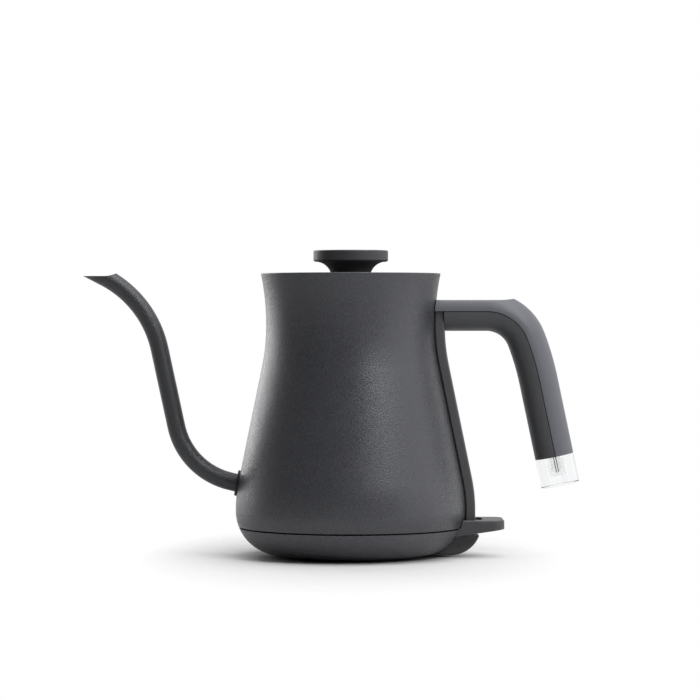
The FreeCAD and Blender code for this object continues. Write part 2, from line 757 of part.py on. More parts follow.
def make_heating_element():
    """Round tube bent into an open ring."""
    end = element_end()
    ring = Part.Wire(
        [Part.makeCircle(ELEMENT_TUBE_RADIUS, V(ELEMENT_RING_RADIUS, 0, ELEMENT_HEIGHT), ALONG_Y)]
    )
    tube = Part.Face(ring)
    tube.rotate(V(0, 0, 0), UP, -end)
    return tube.revolve(V(0, 0, 0), UP, 2 * end)


def make_element_terminals():
    """Two cold ends that lead from the ring to the control block."""
    end = element_end()
    bars = []
    x = ELEMENT_RING_RADIUS * math.cos(rad(end))
    y = ELEMENT_RING_RADIUS * math.sin(rad(end))
    for side in (1, -1):
        level = lambda u, v, s=side: V(u, s * v, ELEMENT_HEIGHT)
        route = Route(x, y, end + 90, level)
        route.forward(TERMINAL_REACH)
        route.turn(TERMINAL_BEND, 270 - end)
        route.forward(-CONTROL_FRONT - route.u)
        bars.append(route.tube(TERMINAL_RADIUS))
    return Part.Compound(bars)


def make_base_posts():
    """Threaded posts on the heat spreader that the base is screwed to."""
    post = Part.makeCylinder(POST_RADIUS, SPREADER_BOTTOM - SEAT_TOP, V(POST_CIRCLE, 0, SEAT_TOP))
    hole = Part.makeCylinder(
        BASE_SCREW_RADIUS + SLIP_FIT, BASE_SCREW_LENGTH, V(POST_CIRCLE, 0, SEAT_TOP)
    )
    return Part.Compound([turned_to(post.cut(hole), angle) for angle in POST_ANGLES])


# Lower housing and underside


def make_lower_housing():
    """Rounded skirt under the seam, open at the back for lever and tail."""
    top = SEAM_HEIGHT - SEAM_GAP / 2
    spigot = SHELL_WALL + SPIGOT_FIT
    tip = SEAM_HEIGHT + SPIGOT_HEIGHT
    rebate = BASE_RADIUS - COVER_EDGE
    outside = wall_edges(0, top, BASE_HEIGHT)
    spigot_out = wall_edges(-spigot, tip, top)
    inside = wall_edges(-HOUSING_WALL, tip, SEAT_TOP)
    under = polyline(
        [
            (BASE_RADIUS, BASE_HEIGHT),
            (rebate, BASE_HEIGHT),
            (rebate, COVER_TOP),
            (LEDGE_PLATE_HOLE, COVER_TOP),
            (LEDGE_PLATE_HOLE, SEAT_TOP),
            (wall_radius(SEAT_TOP, -HOUSING_WALL), SEAT_TOP),
        ]
    )
    shoulder = polyline([(wall_radius(top), top), (wall_radius(top, -spigot), top)])
    crown = polyline([(wall_radius(tip, -spigot), tip), (wall_radius(tip, -HOUSING_WALL), tip)])
    housing = turned(outside + under + inside + crown + spigot_out + shoulder)
    far = LEVER_END
    slot_low = BAR_BOTTOM - LEVER_SLOT_GAP
    arms = block(BAR_START - 2, far, LEVER_WIDTH + 2 * LEVER_SLOT_GAP, slot_low, BELLY_HEIGHT)
    tail = block(TAIL_FRONT - 2 * TAIL_GAP, far, TAIL_WIDTH + 2 * TAIL_GAP, -1, BELLY_HEIGHT)
    holes = [
        rod(BASE_SCREW_RADIUS + SLIP_FIT, place + UP * (COVER_TOP - 1), place + UP * (SEAT_TOP + 1))
        for place in base_screw_places()
    ]
    return housing.cut([arms, tail] + holes)


def make_seam_gasket():
    """Thin dark ring set back in the seam."""
    low = SEAM_HEIGHT - SEAM_GAP / 2
    high = SEAM_HEIGHT + SEAM_GAP / 2
    inner = wall_radius(high, -SHELL_WALL - SPIGOT_FIT) + SLIP_FIT
    outer = wall_radius(low, -SEAM_RECESS)
    ring = turned_points([(inner, low), (outer, low), (outer, high), (inner, high)])
    return ring.cut(block(0, LEVER_END, LEVER_WIDTH + 2 * LEVER_SLOT_GAP, 0, BELLY_HEIGHT))


def base_screw_places():
    """Where screws go up through the underside."""
    places = []
    for angle in POST_ANGLES:
        places.append(V(POST_CIRCLE * math.cos(rad(angle)), POST_CIRCLE * math.sin(rad(angle)), 0))
    for side in (-1, 1):
        places.append(V(POST_CIRCLE, side * TAIL_SCREW_SPREAD, 0))
    return places


def make_base_cover():
    """Plate that closes the underside round the inlet."""
    plate = Part.makeCylinder(COVER_RADIUS, COVER_THICKNESS, V(0, 0, BASE_HEIGHT))
    mouth = Part.makeCylinder(SOCKET_MOUTH_RADIUS, COVER_THICKNESS, V(0, 0, BASE_HEIGHT))
    groove = turned_points(foot_outline(BASE_HEIGHT))
    cuts = [mouth, groove]
    for place in base_screw_places():
        head = BASE_HEAD_RADIUS + HEAD_ROOM
        cuts.append(Part.makeCylinder(head, BASE_HEAD_HEIGHT + HEAD_ROOM, place + UP * BASE_HEIGHT))
        cuts.append(
            Part.makeCylinder(BASE_SCREW_RADIUS + SLIP_FIT, COVER_THICKNESS, place + UP * BASE_HEIGHT)
        )
    return plate.cut(cuts)


def foot_outline(low):
    """Section of the foot ring down to a given height."""
    high = BASE_HEIGHT + FOOT_GROOVE
    return [(FOOT_INNER, low), (FOOT_OUTER, low), (FOOT_OUTER, high), (FOOT_INNER, high)]


def make_foot_ring():
    """Soft ring that the kettle stands on."""
    return turned_points(foot_outline(BASE_HEIGHT - FOOT_DROP))


def make_base_screws():
    """Equal screws that hold the underside and the tail housing."""
    seat = BASE_HEIGHT + BASE_HEAD_HEIGHT + HEAD_ROOM
    screws = []
    for place in base_screw_places():
        foot = place + UP * (seat - BASE_HEAD_HEIGHT)
        head = Part.makeCylinder(BASE_HEAD_RADIUS, BASE_HEAD_HEIGHT, foot)
        shank = Part.makeCylinder(BASE_SCREW_RADIUS, BASE_SCREW_LENGTH, place + UP * seat)
        slot = Part.makeBox(2 * BASE_HEAD_RADIUS, 0.6, 0.7, foot + V(-BASE_HEAD_RADIUS, -0.3, 0))
        screws.append(head.fuse(shank).cut(slot))
    return Part.Compound(screws)


# Cordless inlet and control


def make_connector_socket():
    """Round cup open to the table with a hollow spigot in its middle."""
    height = CONTROL_BOTTOM - COVER_TOP
    cup = Part.makeCylinder(SOCKET_RADIUS + SOCKET_WALL, height, V(0, 0, COVER_TOP))
    room = Part.makeCylinder(SOCKET_RADIUS, height - SOCKET_ROOF, V(0, 0, COVER_TOP))
    low = COVER_TOP + SPIGOT_SET_BACK
    spigot = Part.makeCylinder(SPIGOT_RADIUS, CONTROL_BOTTOM - low, V(0, 0, low))
    hole = Part.makeCylinder(CENTRE_HOLE_RADIUS, height - SOCKET_ROOF - SPIGOT_SET_BACK, V(0, 0, low))
    return cup.cut(room).fuse(spigot).cut(hole)


def make_connector_contacts():
    """Ring and centre pin that meet the power base."""
    top = CONTROL_BOTTOM - SOCKET_ROOF
    low = COVER_TOP + RING_CONTACT_SET_BACK
    outer = SOCKET_RADIUS - SLIP_FIT
    ring = Part.makeCylinder(outer, top - low, V(0, 0, low))
    ring = ring.cut(Part.makeCylinder(outer - RING_CONTACT_WALL, top - low, V(0, 0, low)))
    pin = Part.makeCylinder(CENTRE_PIN_RADIUS, top - low, V(0, 0, low))
    return Part.Compound([ring, pin])


def contact_room():
    """Front and back of the room that holds the switch contacts."""
    return PLUNGER_X - CONTACT_ROOM_LENGTH / 2, PLUNGER_X + CONTACT_ROOM_LENGTH / 2


def disc_places():
    """Where the two snap discs touch the heat spreader."""
    return [V(-CONTROL_FRONT / 4, side * CONTROL_WIDTH / 4, CONTROL_TOP) for side in (-1, 1)]


def make_control_block():
    """Thermostat body with a room for contacts and a guide for the plunger."""
    body = block(-CONTROL_FRONT, CONTROL_BACK, CONTROL_WIDTH, CONTROL_BOTTOM, CONTROL_TOP)
    uprights = edges_where(body, lambda e: e.BoundBox.ZLength > 1)
    body = body.makeFillet(CONTROL_CORNER, uprights)
    front, back = contact_room()
    room = block(front, back, CONTACT_ROOM_WIDTH, CONTACT_ROOM_FLOOR, CONTROL_TOP)
    below = V(PLUNGER_X, 0, CONTROL_BOTTOM - 1)
    guide = rod(PLUNGER_RADIUS + RUNNING_FIT, below, V(PLUNGER_X, 0, CONTROL_TOP))
    cuts = [room, guide]
    for place in control_screw_places():
        low = place + UP * (CONTROL_BOTTOM - 1)
        cuts.append(rod(CONTROL_SCREW_RADIUS + SLIP_FIT, low, place + UP * CONTROL_TOP))
        cuts.append(rod(2 * CONTROL_SCREW_RADIUS + HEAD_ROOM, low, place + UP * CONTROL_SEAT))
    return body.cut(cuts)


def make_control_screws():
    """Four screws that hold the control block to the heat spreader."""
    top = SPREADER_BOTTOM + SPREADER_THICKNESS / 2 - SLIP_FIT
    screws = []
    for place in control_screw_places():
        seat = place + UP * CONTROL_SEAT
        head = rod(2 * CONTROL_SCREW_RADIUS, seat - UP * CONTROL_HEAD_HEIGHT, seat)
        screws.append(head.fuse(rod(CONTROL_SCREW_RADIUS, seat, place + UP * top)))
    return Part.Compound(screws)


def make_dry_boil_discs():
    """Snap discs between control and heat spreader that cut out an empty kettle."""
    return Part.Compound([Part.makeCylinder(DISC_RADIUS, DISC_THICKNESS, p) for p in disc_places()])


def make_contact_cover():
    """Plate that closes the room over the contacts."""
    front, back = contact_room()
    return block(front, back, CONTACT_ROOM_WIDTH, CONTROL_TOP - CONTACT_COVER, CONTROL_TOP)


def make_fixed_contacts():
    """Two strips under the cover, each with a contact button."""
    front, back = contact_room()
    strips = []
    for side in (-1, 1):
        strip = block(front, back, STRIP_WIDTH, STRIP_BOTTOM, CONTROL_TOP - CONTACT_COVER)
        strip.translate(V(0, side * CONTACT_SPREAD, 0))
        low = STRIP_BOTTOM - CONTACT_BUTTON_HEIGHT
        button = Part.makeCylinder(
            CONTACT_BUTTON_RADIUS, CONTACT_BUTTON_HEIGHT, V(PLUNGER_X, side * CONTACT_SPREAD, low)
        )
        strips.append(strip.fuse(button))
    return Part.Compound(strips)


# Switch lever, its pin and the plunger it lifts


def make_switch_lever():
    """Loop round the spine's foot, with arms to a hinge and a toe beyond it."""
    neck = LEVER_PIVOT_X + 6.0
    low_x = LEVER_END - (LEVER_TOP - LEVER_END_THICKNESS - BAR_BOTTOM) / math.tan(rad(LEVER_SLOPE))
    bar_end = BAR_START + LEVER_BAR_LENGTH
    side = [
        (BAR_START, BAR_BOTTOM),
        (low_x, BAR_BOTTOM),
        (LEVER_END, LEVER_TOP - LEVER_END_THICKNESS),
        (LEVER_END, LEVER_TOP),
        (neck, LEVER_TOP),
        (neck, LEVER_ARM_TOP),
        (bar_end + 2.0, LEVER_ARM_TOP),
        (bar_end, BAR_TOP),
        (BAR_START, BAR_TOP),
    ]
    lever = slab(side, LEVER_WIDTH)
    corners = edges_where(
        lever, lambda e: e.BoundBox.XMin > LEVER_END - 0.01 and e.BoundBox.ZLength > 1
    )
    lever = lever.makeFillet(LEVER_CORNER, corners)
    rims = edges_where(
        lever,
        lambda e: e.BoundBox.XMax > LEVER_END - LEVER_CORNER - 0.01
        and (e.BoundBox.ZMin > LEVER_TOP - 0.01 or e.BoundBox.ZLength < 0.01)
        and e.BoundBox.XMin > neck - 0.01
        and e.BoundBox.ZMin > LEVER_TOP - 0.01
        and not (e.BoundBox.XLength < 0.01 and e.BoundBox.XMin < neck + 0.01),
    )
    lever = lever.makeFillet(LEVER_EDGE, rims)
    hole_end = BELLY_RADIUS + SPINE_DEPTH + LEVER_HOLE_BEHIND
    hole_width = SPINE_WIDTH + 2 * LEVER_HOLE_MARGIN
    hole = block(bar_end, hole_end, hole_width, 0, 2 * LEVER_TOP)
    hole_corners = edges_where(
        hole, lambda e: e.BoundBox.ZLength > 1 and e.BoundBox.XMin > hole_end - 0.01
    )
    hole = hole.makeFillet(LEVER_CORNER / 2, hole_corners)
    body = envelope(LEVER_BODY_GAP, WAIST_HEIGHT, LEVER_ARM_TOP, tapered=True)
    axle = rod(
        LEVER_PIN_RADIUS + RUNNING_FIT,
        V(LEVER_PIVOT_X, -LEVER_WIDTH, LEVER_PIVOT_HEIGHT),
        V(LEVER_PIVOT_X, LEVER_WIDTH, LEVER_PIVOT_HEIGHT),
    )
    toe_start = PLUNGER_X - PLUNGER_RADIUS - 0.5
    toe = block(toe_start, BAR_START, LEVER_TOE_WIDTH, BAR_BOTTOM, TOE_TOP)
    return lever.cut([hole, body, axle]).fuse(toe).removeSplitter()


def make_lever_pin():
    """Axle held in the tail's boss, on which the lever turns."""
    half = LEVER_WIDTH / 2 - 1.0
    return rod(
        LEVER_PIN_RADIUS,
        V(LEVER_PIVOT_X, -half, LEVER_PIVOT_HEIGHT),
        V(LEVER_PIVOT_X, half, LEVER_PIVOT_HEIGHT),
    )


def make_contact_plunger():
    """Round pin standing over the lever's toe."""
    low = TOE_TOP + PLUNGER_GAP
    pin = rod(PLUNGER_RADIUS, V(PLUNGER_X, 0, low), V(PLUNGER_X, 0, PLUNGER_TOP))
    head_low = V(PLUNGER_X, 0, PLUNGER_TOP - PLUNGER_HEAD)
    return pin.fuse(Part.makeCylinder(PLUNGER_RADIUS + 1.0, PLUNGER_HEAD, head_low))


def make_contact_bridge():
    """Cross strip on the plunger with a button at each end."""
    x0 = PLUNGER_X - BRIDGE_LENGTH / 2
    low = PLUNGER_TOP
    width = 2 * (CONTACT_SPREAD + CONTACT_BUTTON_RADIUS) + 0.6
    strip = block(x0, x0 + BRIDGE_LENGTH, width, low, low + STRIP_THICKNESS)
    for side in (-1, 1):
        place = V(PLUNGER_X, side * CONTACT_SPREAD, low + STRIP_THICKNESS)
        strip = strip.fuse(Part.makeCylinder(CONTACT_BUTTON_RADIUS, CONTACT_BUTTON_HEIGHT, place))
    return strip


def make_plunger_spring():
    """Small coil that pushes the plunger down."""
    low = PLUNGER_TOP + STRIP_THICKNESS
    high = CONTROL_TOP - CONTACT_COVER
    rise = high - low - 2 * SPRING_WIRE - 2 * SLIP_FIT
    helix = Part.makeHelix(rise / SPRING_TURNS, rise, SPRING_RADIUS)
    ring = Part.Wire([Part.makeCircle(SPRING_WIRE, V(SPRING_RADIUS, 0, 0), ALONG_Y)])
    coil = Part.Wire(helix).makePipeShell([ring], True, True)
    coil.translate(V(PLUNGER_X, 0, low + SPRING_WIRE + SLIP_FIT))
    return coil


# Tail housing and steam switch


def tail_outline(inset, top):
    """Side outline of the tail's hull, moved in by an inset."""
    low = TAIL_BOTTOM + inset
    curve = TAIL_CURVE - inset
    middle = TAIL_BOTTOM + TAIL_CURVE
    reach = min(top, middle)
    end = math.asin((middle - reach) / curve)
    points = []
    for share in (0, 0.5, 1):
        angle = rad(90) - (rad(90) - end) * share
        points.append(V(TAIL_TURN_X + curve * math.cos(angle), 0, middle - curve * math.sin(angle)))
    return low, points


def tail_room():
    """Hollow inside the tail, open at its top."""
    top = TAIL_TOP + 1.0
    low, bend = tail_outline(TAIL_WALL, top)
    front = TAIL_FRONT + TAIL_WALL
    edges = [Part.Arc(*bend).toShape()] + polyline(
        [(bend[2].x, bend[2].z), (front, top), (front, low), (bend[0].x, bend[0].z)]
    )
    return slab_edges(edges, TAIL_WIDTH - 2 * TAIL_WALL)


def make_tail_housing():
    """Rounded tail under the lever with the boss for its pin."""
    low, bend = tail_outline(0, TAIL_TOP)
    outer_edges = [Part.Arc(*bend).toShape()] + polyline(
        [
            (bend[2].x, bend[2].z),
            (TAIL_LOW_END, TAIL_TOP),
            (TAIL_LOW_END - 1.5, TAIL_LOW_TOP),
            (TAIL_FRONT, TAIL_LOW_TOP),
            (TAIL_FRONT, low),
            (bend[0].x, bend[0].z),
        ]
    )
    hull = slab_edges(outer_edges, TAIL_WIDTH)
    keel = edges_where(
        hull,
        lambda e: e.BoundBox.YLength < 1e-3
        and (e.BoundBox.ZMax < low + 1e-3 or e.BoundBox.XMax > bend[1].x and e.BoundBox.ZMin < low + 0.1),
    )
    hull = hull.makeFillet(TAIL_EDGE, keel)
    room = tail_room()
    x0 = LEVER_PIVOT_X - BOSS_LENGTH / 2
    boss = block(x0, x0 + BOSS_LENGTH, BOSS_WIDTH, TAIL_BOTTOM, LEVER_PIVOT_HEIGHT + BOSS_CROWN)
    flange = block(
        POST_CIRCLE - POST_RADIUS, TAIL_FRONT + TAIL_WALL, TAIL_WIDTH, SEAT_TOP, SEAT_TOP + TAIL_WALL
    )
    axle = rod(
        LEVER_PIN_RADIUS,
        V(LEVER_PIVOT_X, -TAIL_WIDTH, LEVER_PIVOT_HEIGHT),
        V(LEVER_PIVOT_X, TAIL_WIDTH, LEVER_PIVOT_HEIGHT),
    )
    holes = []
    for side in (-1, 1):
        place = V(POST_CIRCLE, side * TAIL_SCREW_SPREAD, SEAT_TOP)
        holes.append(Part.makeCylinder(BASE_SCREW_RADIUS + SLIP_FIT, TAIL_WALL, place))
    return hull.cut(room).fuse([boss, flange]).cut([axle] + holes).removeSplitter()


def carrier_top():
    """Top of the block that carries the steam switch's disc."""
    return TAIL_BOTTOM + TAIL_WALL + CARRIER_HEIGHT


def make_bimetal_carrier():
    """Block on the tail's floor under the steam switch's disc."""
    half = BIMETAL_RADIUS / 2
    seat = block(BIMETAL_X - half, BIMETAL_X + half, 2 * BIMETAL_RADIUS - 1.0, 0, carrier_top())
    return seat.common(tail_room())


def make_steam_bimetal():
    """Snap disc that the steam heats."""
    return Part.makeCylinder(BIMETAL_RADIUS, DISC_THICKNESS, V(BIMETAL_X, 0, carrier_top()))


# Spine cover and what runs in it


def make_spine_cover():
    """Channel that follows the back of the body from the tail to the handle."""
    top = HANDLE_AXIS_HEIGHT + LIP_HEIGHT - LIP_ROOM
    wide = block(0, 2 * BELLY_RADIUS, SPINE_WIDTH, TAIL_TOP, top)
    strip = envelope(SPINE_DEPTH, RIM_HEIGHT, TAIL_TOP - 1).common(wide)
    long_edges = edges_where(
        strip,
        lambda e: abs(abs(e.BoundBox.YMin) - SPINE_WIDTH / 2) < 1e-3
        and e.BoundBox.YLength < 1e-3
        and e.BoundBox.ZLength > 5
        and e.BoundBox.XMin > WAIST_RADIUS / 2,
    )
    strip = strip.makeFillet(SPINE_EDGE, long_edges)
    strip = strip.cut(envelope(SPINE_GAP, RIM_HEIGHT, TAIL_TOP - 1))
    inner_width = SPINE_WIDTH - 2 * SPINE_WALL
    lip_width = SPINE_WIDTH - 2 * SPINE_LIP_INSET
    lip = envelope(SPINE_GAP + SPINE_WALL, RIM_HEIGHT, TAIL_TOP - 1).common(
        block(0, 2 * BELLY_RADIUS, lip_width, TAIL_TOP, top)
    )
    lip = lip.cut(envelope(SPINE_LIP_GAP, RIM_HEIGHT, TAIL_TOP - 1))
    channel = envelope(SPINE_DEPTH - SPINE_WALL, RIM_HEIGHT, TAIL_TOP - 1).common(
        block(0, 2 * BELLY_RADIUS, inner_width, TAIL_TOP - 1, RIM_HEIGHT)
    )
    door_low = HANDLE_AXIS_HEIGHT - HANDLE_BORE + 1.5
    door = block(WAIST_RADIUS, 2 * BELLY_RADIUS, inner_width - 1.0, door_low, RIM_HEIGHT)
    return strip.fuse(lip).cut([channel, door]).removeSplitter()


def make_steam_tube():
    """Soft tube that leads steam from the vessel down to the steam switch."""
    route = steam_route()
    return route.tube(STEAM_TUBE_RADIUS).cut(steam_route().tube(STEAM_TUBE_BORE))


def make_steam_grommet(shell):
    """Soft bush that seals the steam tube in the wall."""
    x = wall_radius(STEAM_PORT_HEIGHT)
    start = V(x - 6.0, STEAM_TUBE_SIDE, STEAM_PORT_HEIGHT)
    plug = rod(STEAM_TUBE_RADIUS + GROMMET_WALL + GROMMET_LIP, start, start + ALONG_X * 12.0)
    layer = envelope(GROMMET_LIP, RIM_HEIGHT, BELLY_HEIGHT)
    inner = envelope(-SHELL_WALL - GROMMET_LIP, RIM_HEIGHT, BELLY_HEIGHT)
    bush = plug.common(layer).cut(inner).cut([shell, steam_route().tube(STEAM_TUBE_RADIUS)])
    return max(bush.Solids, key=lambda s: s.Volume)


# Handle


def into_grip(route, shift=0.0):
    """Walk a route round the handle's bend and along the grip's gentle curve."""
    route.forward(HANDLE_BEND_START - route.u)
    route.turn(HANDLE_BEND + shift, -HANDLE_BEND_ANGLE)
    route.turn(GRIP_BEND + shift, -GRIP_SWEEP)
    return route


def handle_route(start_x, shift=0.0):
    """Middle line of the handle, moved toward its outer side by a shift."""
    return into_grip(Route(start_x, HANDLE_AXIS_HEIGHT + shift, 0, side_plane(0)), shift)


def grip_frame():
    """End point of the grip and the direction it points."""
    route = handle_route(0.0).forward(GRIP_LENGTH)
    lean = rad(GRIP_LEAN)
    return V(route.u, 0, route.v), V(math.sin(lean), 0, -math.cos(lean))


def handle_bar(radius, flat):
    """Round bar along the handle, flat on top with a rise for the thumb."""
    bar = handle_route(WAIST_RADIUS / 2).forward(GRIP_LENGTH).tube(radius)
    rise = Route(HANDLE_BEND_START + THUMB_START, HANDLE_AXIS_HEIGHT + flat, 0, side_plane(0))
    flat_end = (rise.u, rise.v)
    rise.turn(THUMB_CURVE, 45)
    high = 2 * RIM_HEIGHT
    rest = [(rise.u, rise.v), (rise.u, high), (0, high), (0, flat_end[1]), flat_end]
    return bar.cut(slab_edges(rise.edges + polyline(rest), 4 * HANDLE_DIAMETER))


def handle_side(shift, outer):
    """Region on the outer or inner side of the handle's parting line."""
    start = WAIST_RADIUS / 2
    route = handle_route(start, shift).forward(GRIP_LENGTH + 5.0)
    low = route.v - 2 * HANDLE_DIAMETER
    far = route.u + 4 * HANDLE_DIAMETER
    high = 2 * RIM_HEIGHT
    first = (start, HANDLE_AXIS_HEIGHT + shift)
    if outer:
        rest = [(route.u, route.v), (route.u, low), (far, low), (far, high), (start, high), first]
    else:
        rest = [(route.u, route.v), (route.u, low), (start, low), first]
    return slab_edges(route.edges + polyline(rest), 4 * HANDLE_DIAMETER)


def handle_hull():
    """Hollow handle before it is parted into two shells."""
    bar = handle_bar(HANDLE_RADIUS, HANDLE_FLAT_RISE)
    top = HANDLE_AXIS_HEIGHT + HANDLE_FLAT_RISE
    rims = edges_where(
        bar, lambda e: e.BoundBox.ZMin > top - 1e-3 and e.BoundBox.XLength > 1e-3
    )
    bar = bar.makeFillet(HANDLE_FLAT_EDGE, rims)
    return bar.cut(handle_bar(HANDLE_BORE, HANDLE_FLAT_RISE - HANDLE_WALL))


def lip_bar():
    """Bar that the joining lip fills, just outside the handle's bore."""
    return handle_route(WAIST_RADIUS / 2).forward(GRIP_LENGTH).tube(HANDLE_BORE + LIP_WALL)


def make_handle_top_shell(hull):
    """Outer half of the handle, grooved for the other half's lip."""
    half = hull.common(handle_side(HANDLE_SEAM / 2, True))
    groove = lip_bar().common(handle_side(LIP_HEIGHT, False))
    body = envelope(HANDLE_BODY_GAP, RIM_HEIGHT, WAIST_HEIGHT - 3 * HANDLE_DIAMETER)
    return half.cut([groove, body]).removeSplitter()


def handle_screw_places():
    """Where the bracket's tongue is screwed down to the handle's posts."""
    last = HANDLE_BEND_START - HANDLE_SCREW_INSET
    return [last - HANDLE_SCREW_PITCH, last]


def make_handle_under_shell(hull):
    """Inner half of the handle with a lip, and posts for its screws."""
    half = hull.common(handle_side(-HANDLE_SEAM / 2, False))
    bore = handle_bar(HANDLE_BORE, 2 * HANDLE_RADIUS)
    lip = lip_bar().cut(bore)
    lip = lip.common(handle_side(-HANDLE_SEAM, True)).common(handle_side(LIP_HEIGHT, False))
    floor = HANDLE_AXIS_HEIGHT - HANDLE_BORE
    posts = []
    holes = []
    for x in handle_screw_places():
        posts.append(rod(HANDLE_HEAD_RADIUS, V(x, 0, floor - HANDLE_WALL / 2), V(x, 0, TONGUE_BOTTOM)))
        holes.append(rod(HANDLE_SCREW_RADIUS + SLIP_FIT, V(x, 0, floor), V(x, 0, TONGUE_BOTTOM + 1)))
    body = envelope(SPINE_DEPTH + SPINE_HANDLE_GAP, RIM_HEIGHT, WAIST_HEIGHT - 3 * HANDLE_DIAMETER)
    return half.fuse([lip] + posts).cut(holes + [body]).removeSplitter()


def make_handle_bracket():
    """Steel plate on the body with a tongue into the handle."""
    low = HANDLE_AXIS_HEIGHT - BRACKET_DROP
    high = HANDLE_AXIS_HEIGHT - HANDLE_SEAM / 2
    wide = block(0, 2 * BELLY_RADIUS, BRACKET_WIDTH, low, high)
    plate = envelope(BRACKET_PLATE, RIM_HEIGHT, BELLY_HEIGHT).common(wide)
    tongue = block(0, HANDLE_BEND_START, BRACKET_WIDTH, TONGUE_BOTTOM, TONGUE_BOTTOM + BRACKET_TONGUE)
    holes = [
        rod(HANDLE_SCREW_RADIUS + SLIP_FIT, V(x, 0, low), V(x, 0, high)) for x in handle_screw_places()
    ]
    return plate.fuse(tongue).cut([envelope(0, RIM_HEIGHT, BELLY_HEIGHT)] + holes).removeSplitter()


def make_handle_screws():
    """Two screws down through the tongue into the handle's posts."""
    seat = TONGUE_BOTTOM + BRACKET_TONGUE
    top = seat + HANDLE_HEAD_HEIGHT
    tip = HANDLE_AXIS_HEIGHT - HANDLE_BORE + SLIP_FIT
    screws = []
    for x in handle_screw_places():
        head = rod(HANDLE_HEAD_RADIUS, V(x, 0, seat), V(x, 0, top))
        shank = rod(HANDLE_SCREW_RADIUS, V(x, 0, tip), V(x, 0, seat))
        slot_low = top - HANDLE_HEAD_HEIGHT / 2
        slot = block(x - HANDLE_HEAD_RADIUS, x + HANDLE_HEAD_RADIUS, 0.6, slot_low, top + 1)
        screws.append(head.fuse(shank).cut(slot))
    return Part.Compound(screws)


# Lamp in the grip's end


def along_grip(radius, start, end):
    """Round bar on the grip's axis, measured from its end."""
    point, out = grip_frame()
    return rod(radius, point + out * start, point + out * end)


def make_lamp_cap():
    """Clear plug that closes the grip, hollow round the bulb."""
    head = along_grip(HANDLE_RADIUS, 0, CAP_LENGTH)
    head = head.makeFillet(CAP_EDGE, edges_where(head, lambda e: e.Length > 3 * HANDLE_RADIUS))
    neck = along_grip(HANDLE_BORE - SLIP_FIT, -CAP_SPIGOT, 1.0)
    pocket = along_grip(CAP_POCKET_RADIUS, -CAP_SPIGOT, CAP_POCKET_DEPTH)
    ends = edges_where(pocket, lambda e: e.Length > 3 * CAP_POCKET_RADIUS)
    point, out = grip_frame()
    far = point + out * CAP_POCKET_DEPTH
    last = [edge for edge in ends if edge.CenterOfMass.sub(far).Length < 0.1]
    pocket = pocket.makeFillet(CAP_POCKET_RADIUS / 3, last)
    return head.fuse(neck).cut(pocket).removeSplitter()


def bulb_form(radius, start, end):
    """Rod with a round end."""
    point, out = grip_frame()
    dome = Part.makeSphere(radius, point + out * (end - radius))
    return along_grip(radius, start, end - radius).fuse(dome).removeSplitter()


def make_lamp_bulb():
    """Small glass bulb standing on its holder."""
    outer = bulb_form(BULB_RADIUS, -CAP_SPIGOT, BULB_LENGTH)
    return outer.cut(bulb_form(BULB_RADIUS - BULB_GLASS, -CAP_SPIGOT, BULB_LENGTH - BULB_GLASS))


def make_lamp_electrodes():
    """Two straight wires inside the bulb."""
    point, out = grip_frame()
    across = V(out.z, 0, -out.x)
    wires = []
    for side in (-1, 1):
        foot = point + across * (side * ELECTRODE_SPREAD / 2)
        wires.append(rod(ELECTRODE_RADIUS, foot + out * -CAP_SPIGOT, foot + out * ELECTRODE_LENGTH))
    return Part.Compound(wires)


def make_lamp_holder():
    """Disc inside the grip that carries the bulb."""
    return along_grip(HANDLE_BORE - SLIP_FIT, -CAP_SPIGOT - HOLDER_THICKNESS, -CAP_SPIGOT)


def make_lamp_leads():
    """Two wires from the control up the spine and through the handle to the lamp."""
    leads = []
    for index in (-1, 1):
        side = -LEAD_SIDE + index * LEAD_PITCH / 2
        route = Route(PLUNGER_X - 2.0, CONTROL_BOTTOM, -90, side_plane(side))
        route.forward(CONTROL_BOTTOM - LEAD_LOW - LEAD_BEND)
        route.turn(LEAD_BEND, 90)
        route.forward(BELLY_RADIUS + DUCT_CENTRE - LEAD_BEND - route.u)
        route.turn(LEAD_BEND, 90)
        route.forward(BELLY_HEIGHT - route.v)
        bend_start = HANDLE_AXIS_HEIGHT - LEAD_BEND
        for _ in range(4):
            lean = wall_lean(bend_start, DUCT_CENTRE)
            bend_start = HANDLE_AXIS_HEIGHT - LEAD_BEND * (1 + math.sin(lean))
        route.climb(DUCT_CENTRE, bend_start)
        route.turn(LEAD_BEND, -route.heading)
        into_grip(route).forward(GRIP_LENGTH - CAP_SPIGOT - HOLDER_THICKNESS)
        leads.append(route.tube(LEAD_RADIUS))
    return Part.Compound(leads)


def save(name, shape):
    """Write one node as a file in parts."""
    shape.exportStep("parts/" + name + ".step")


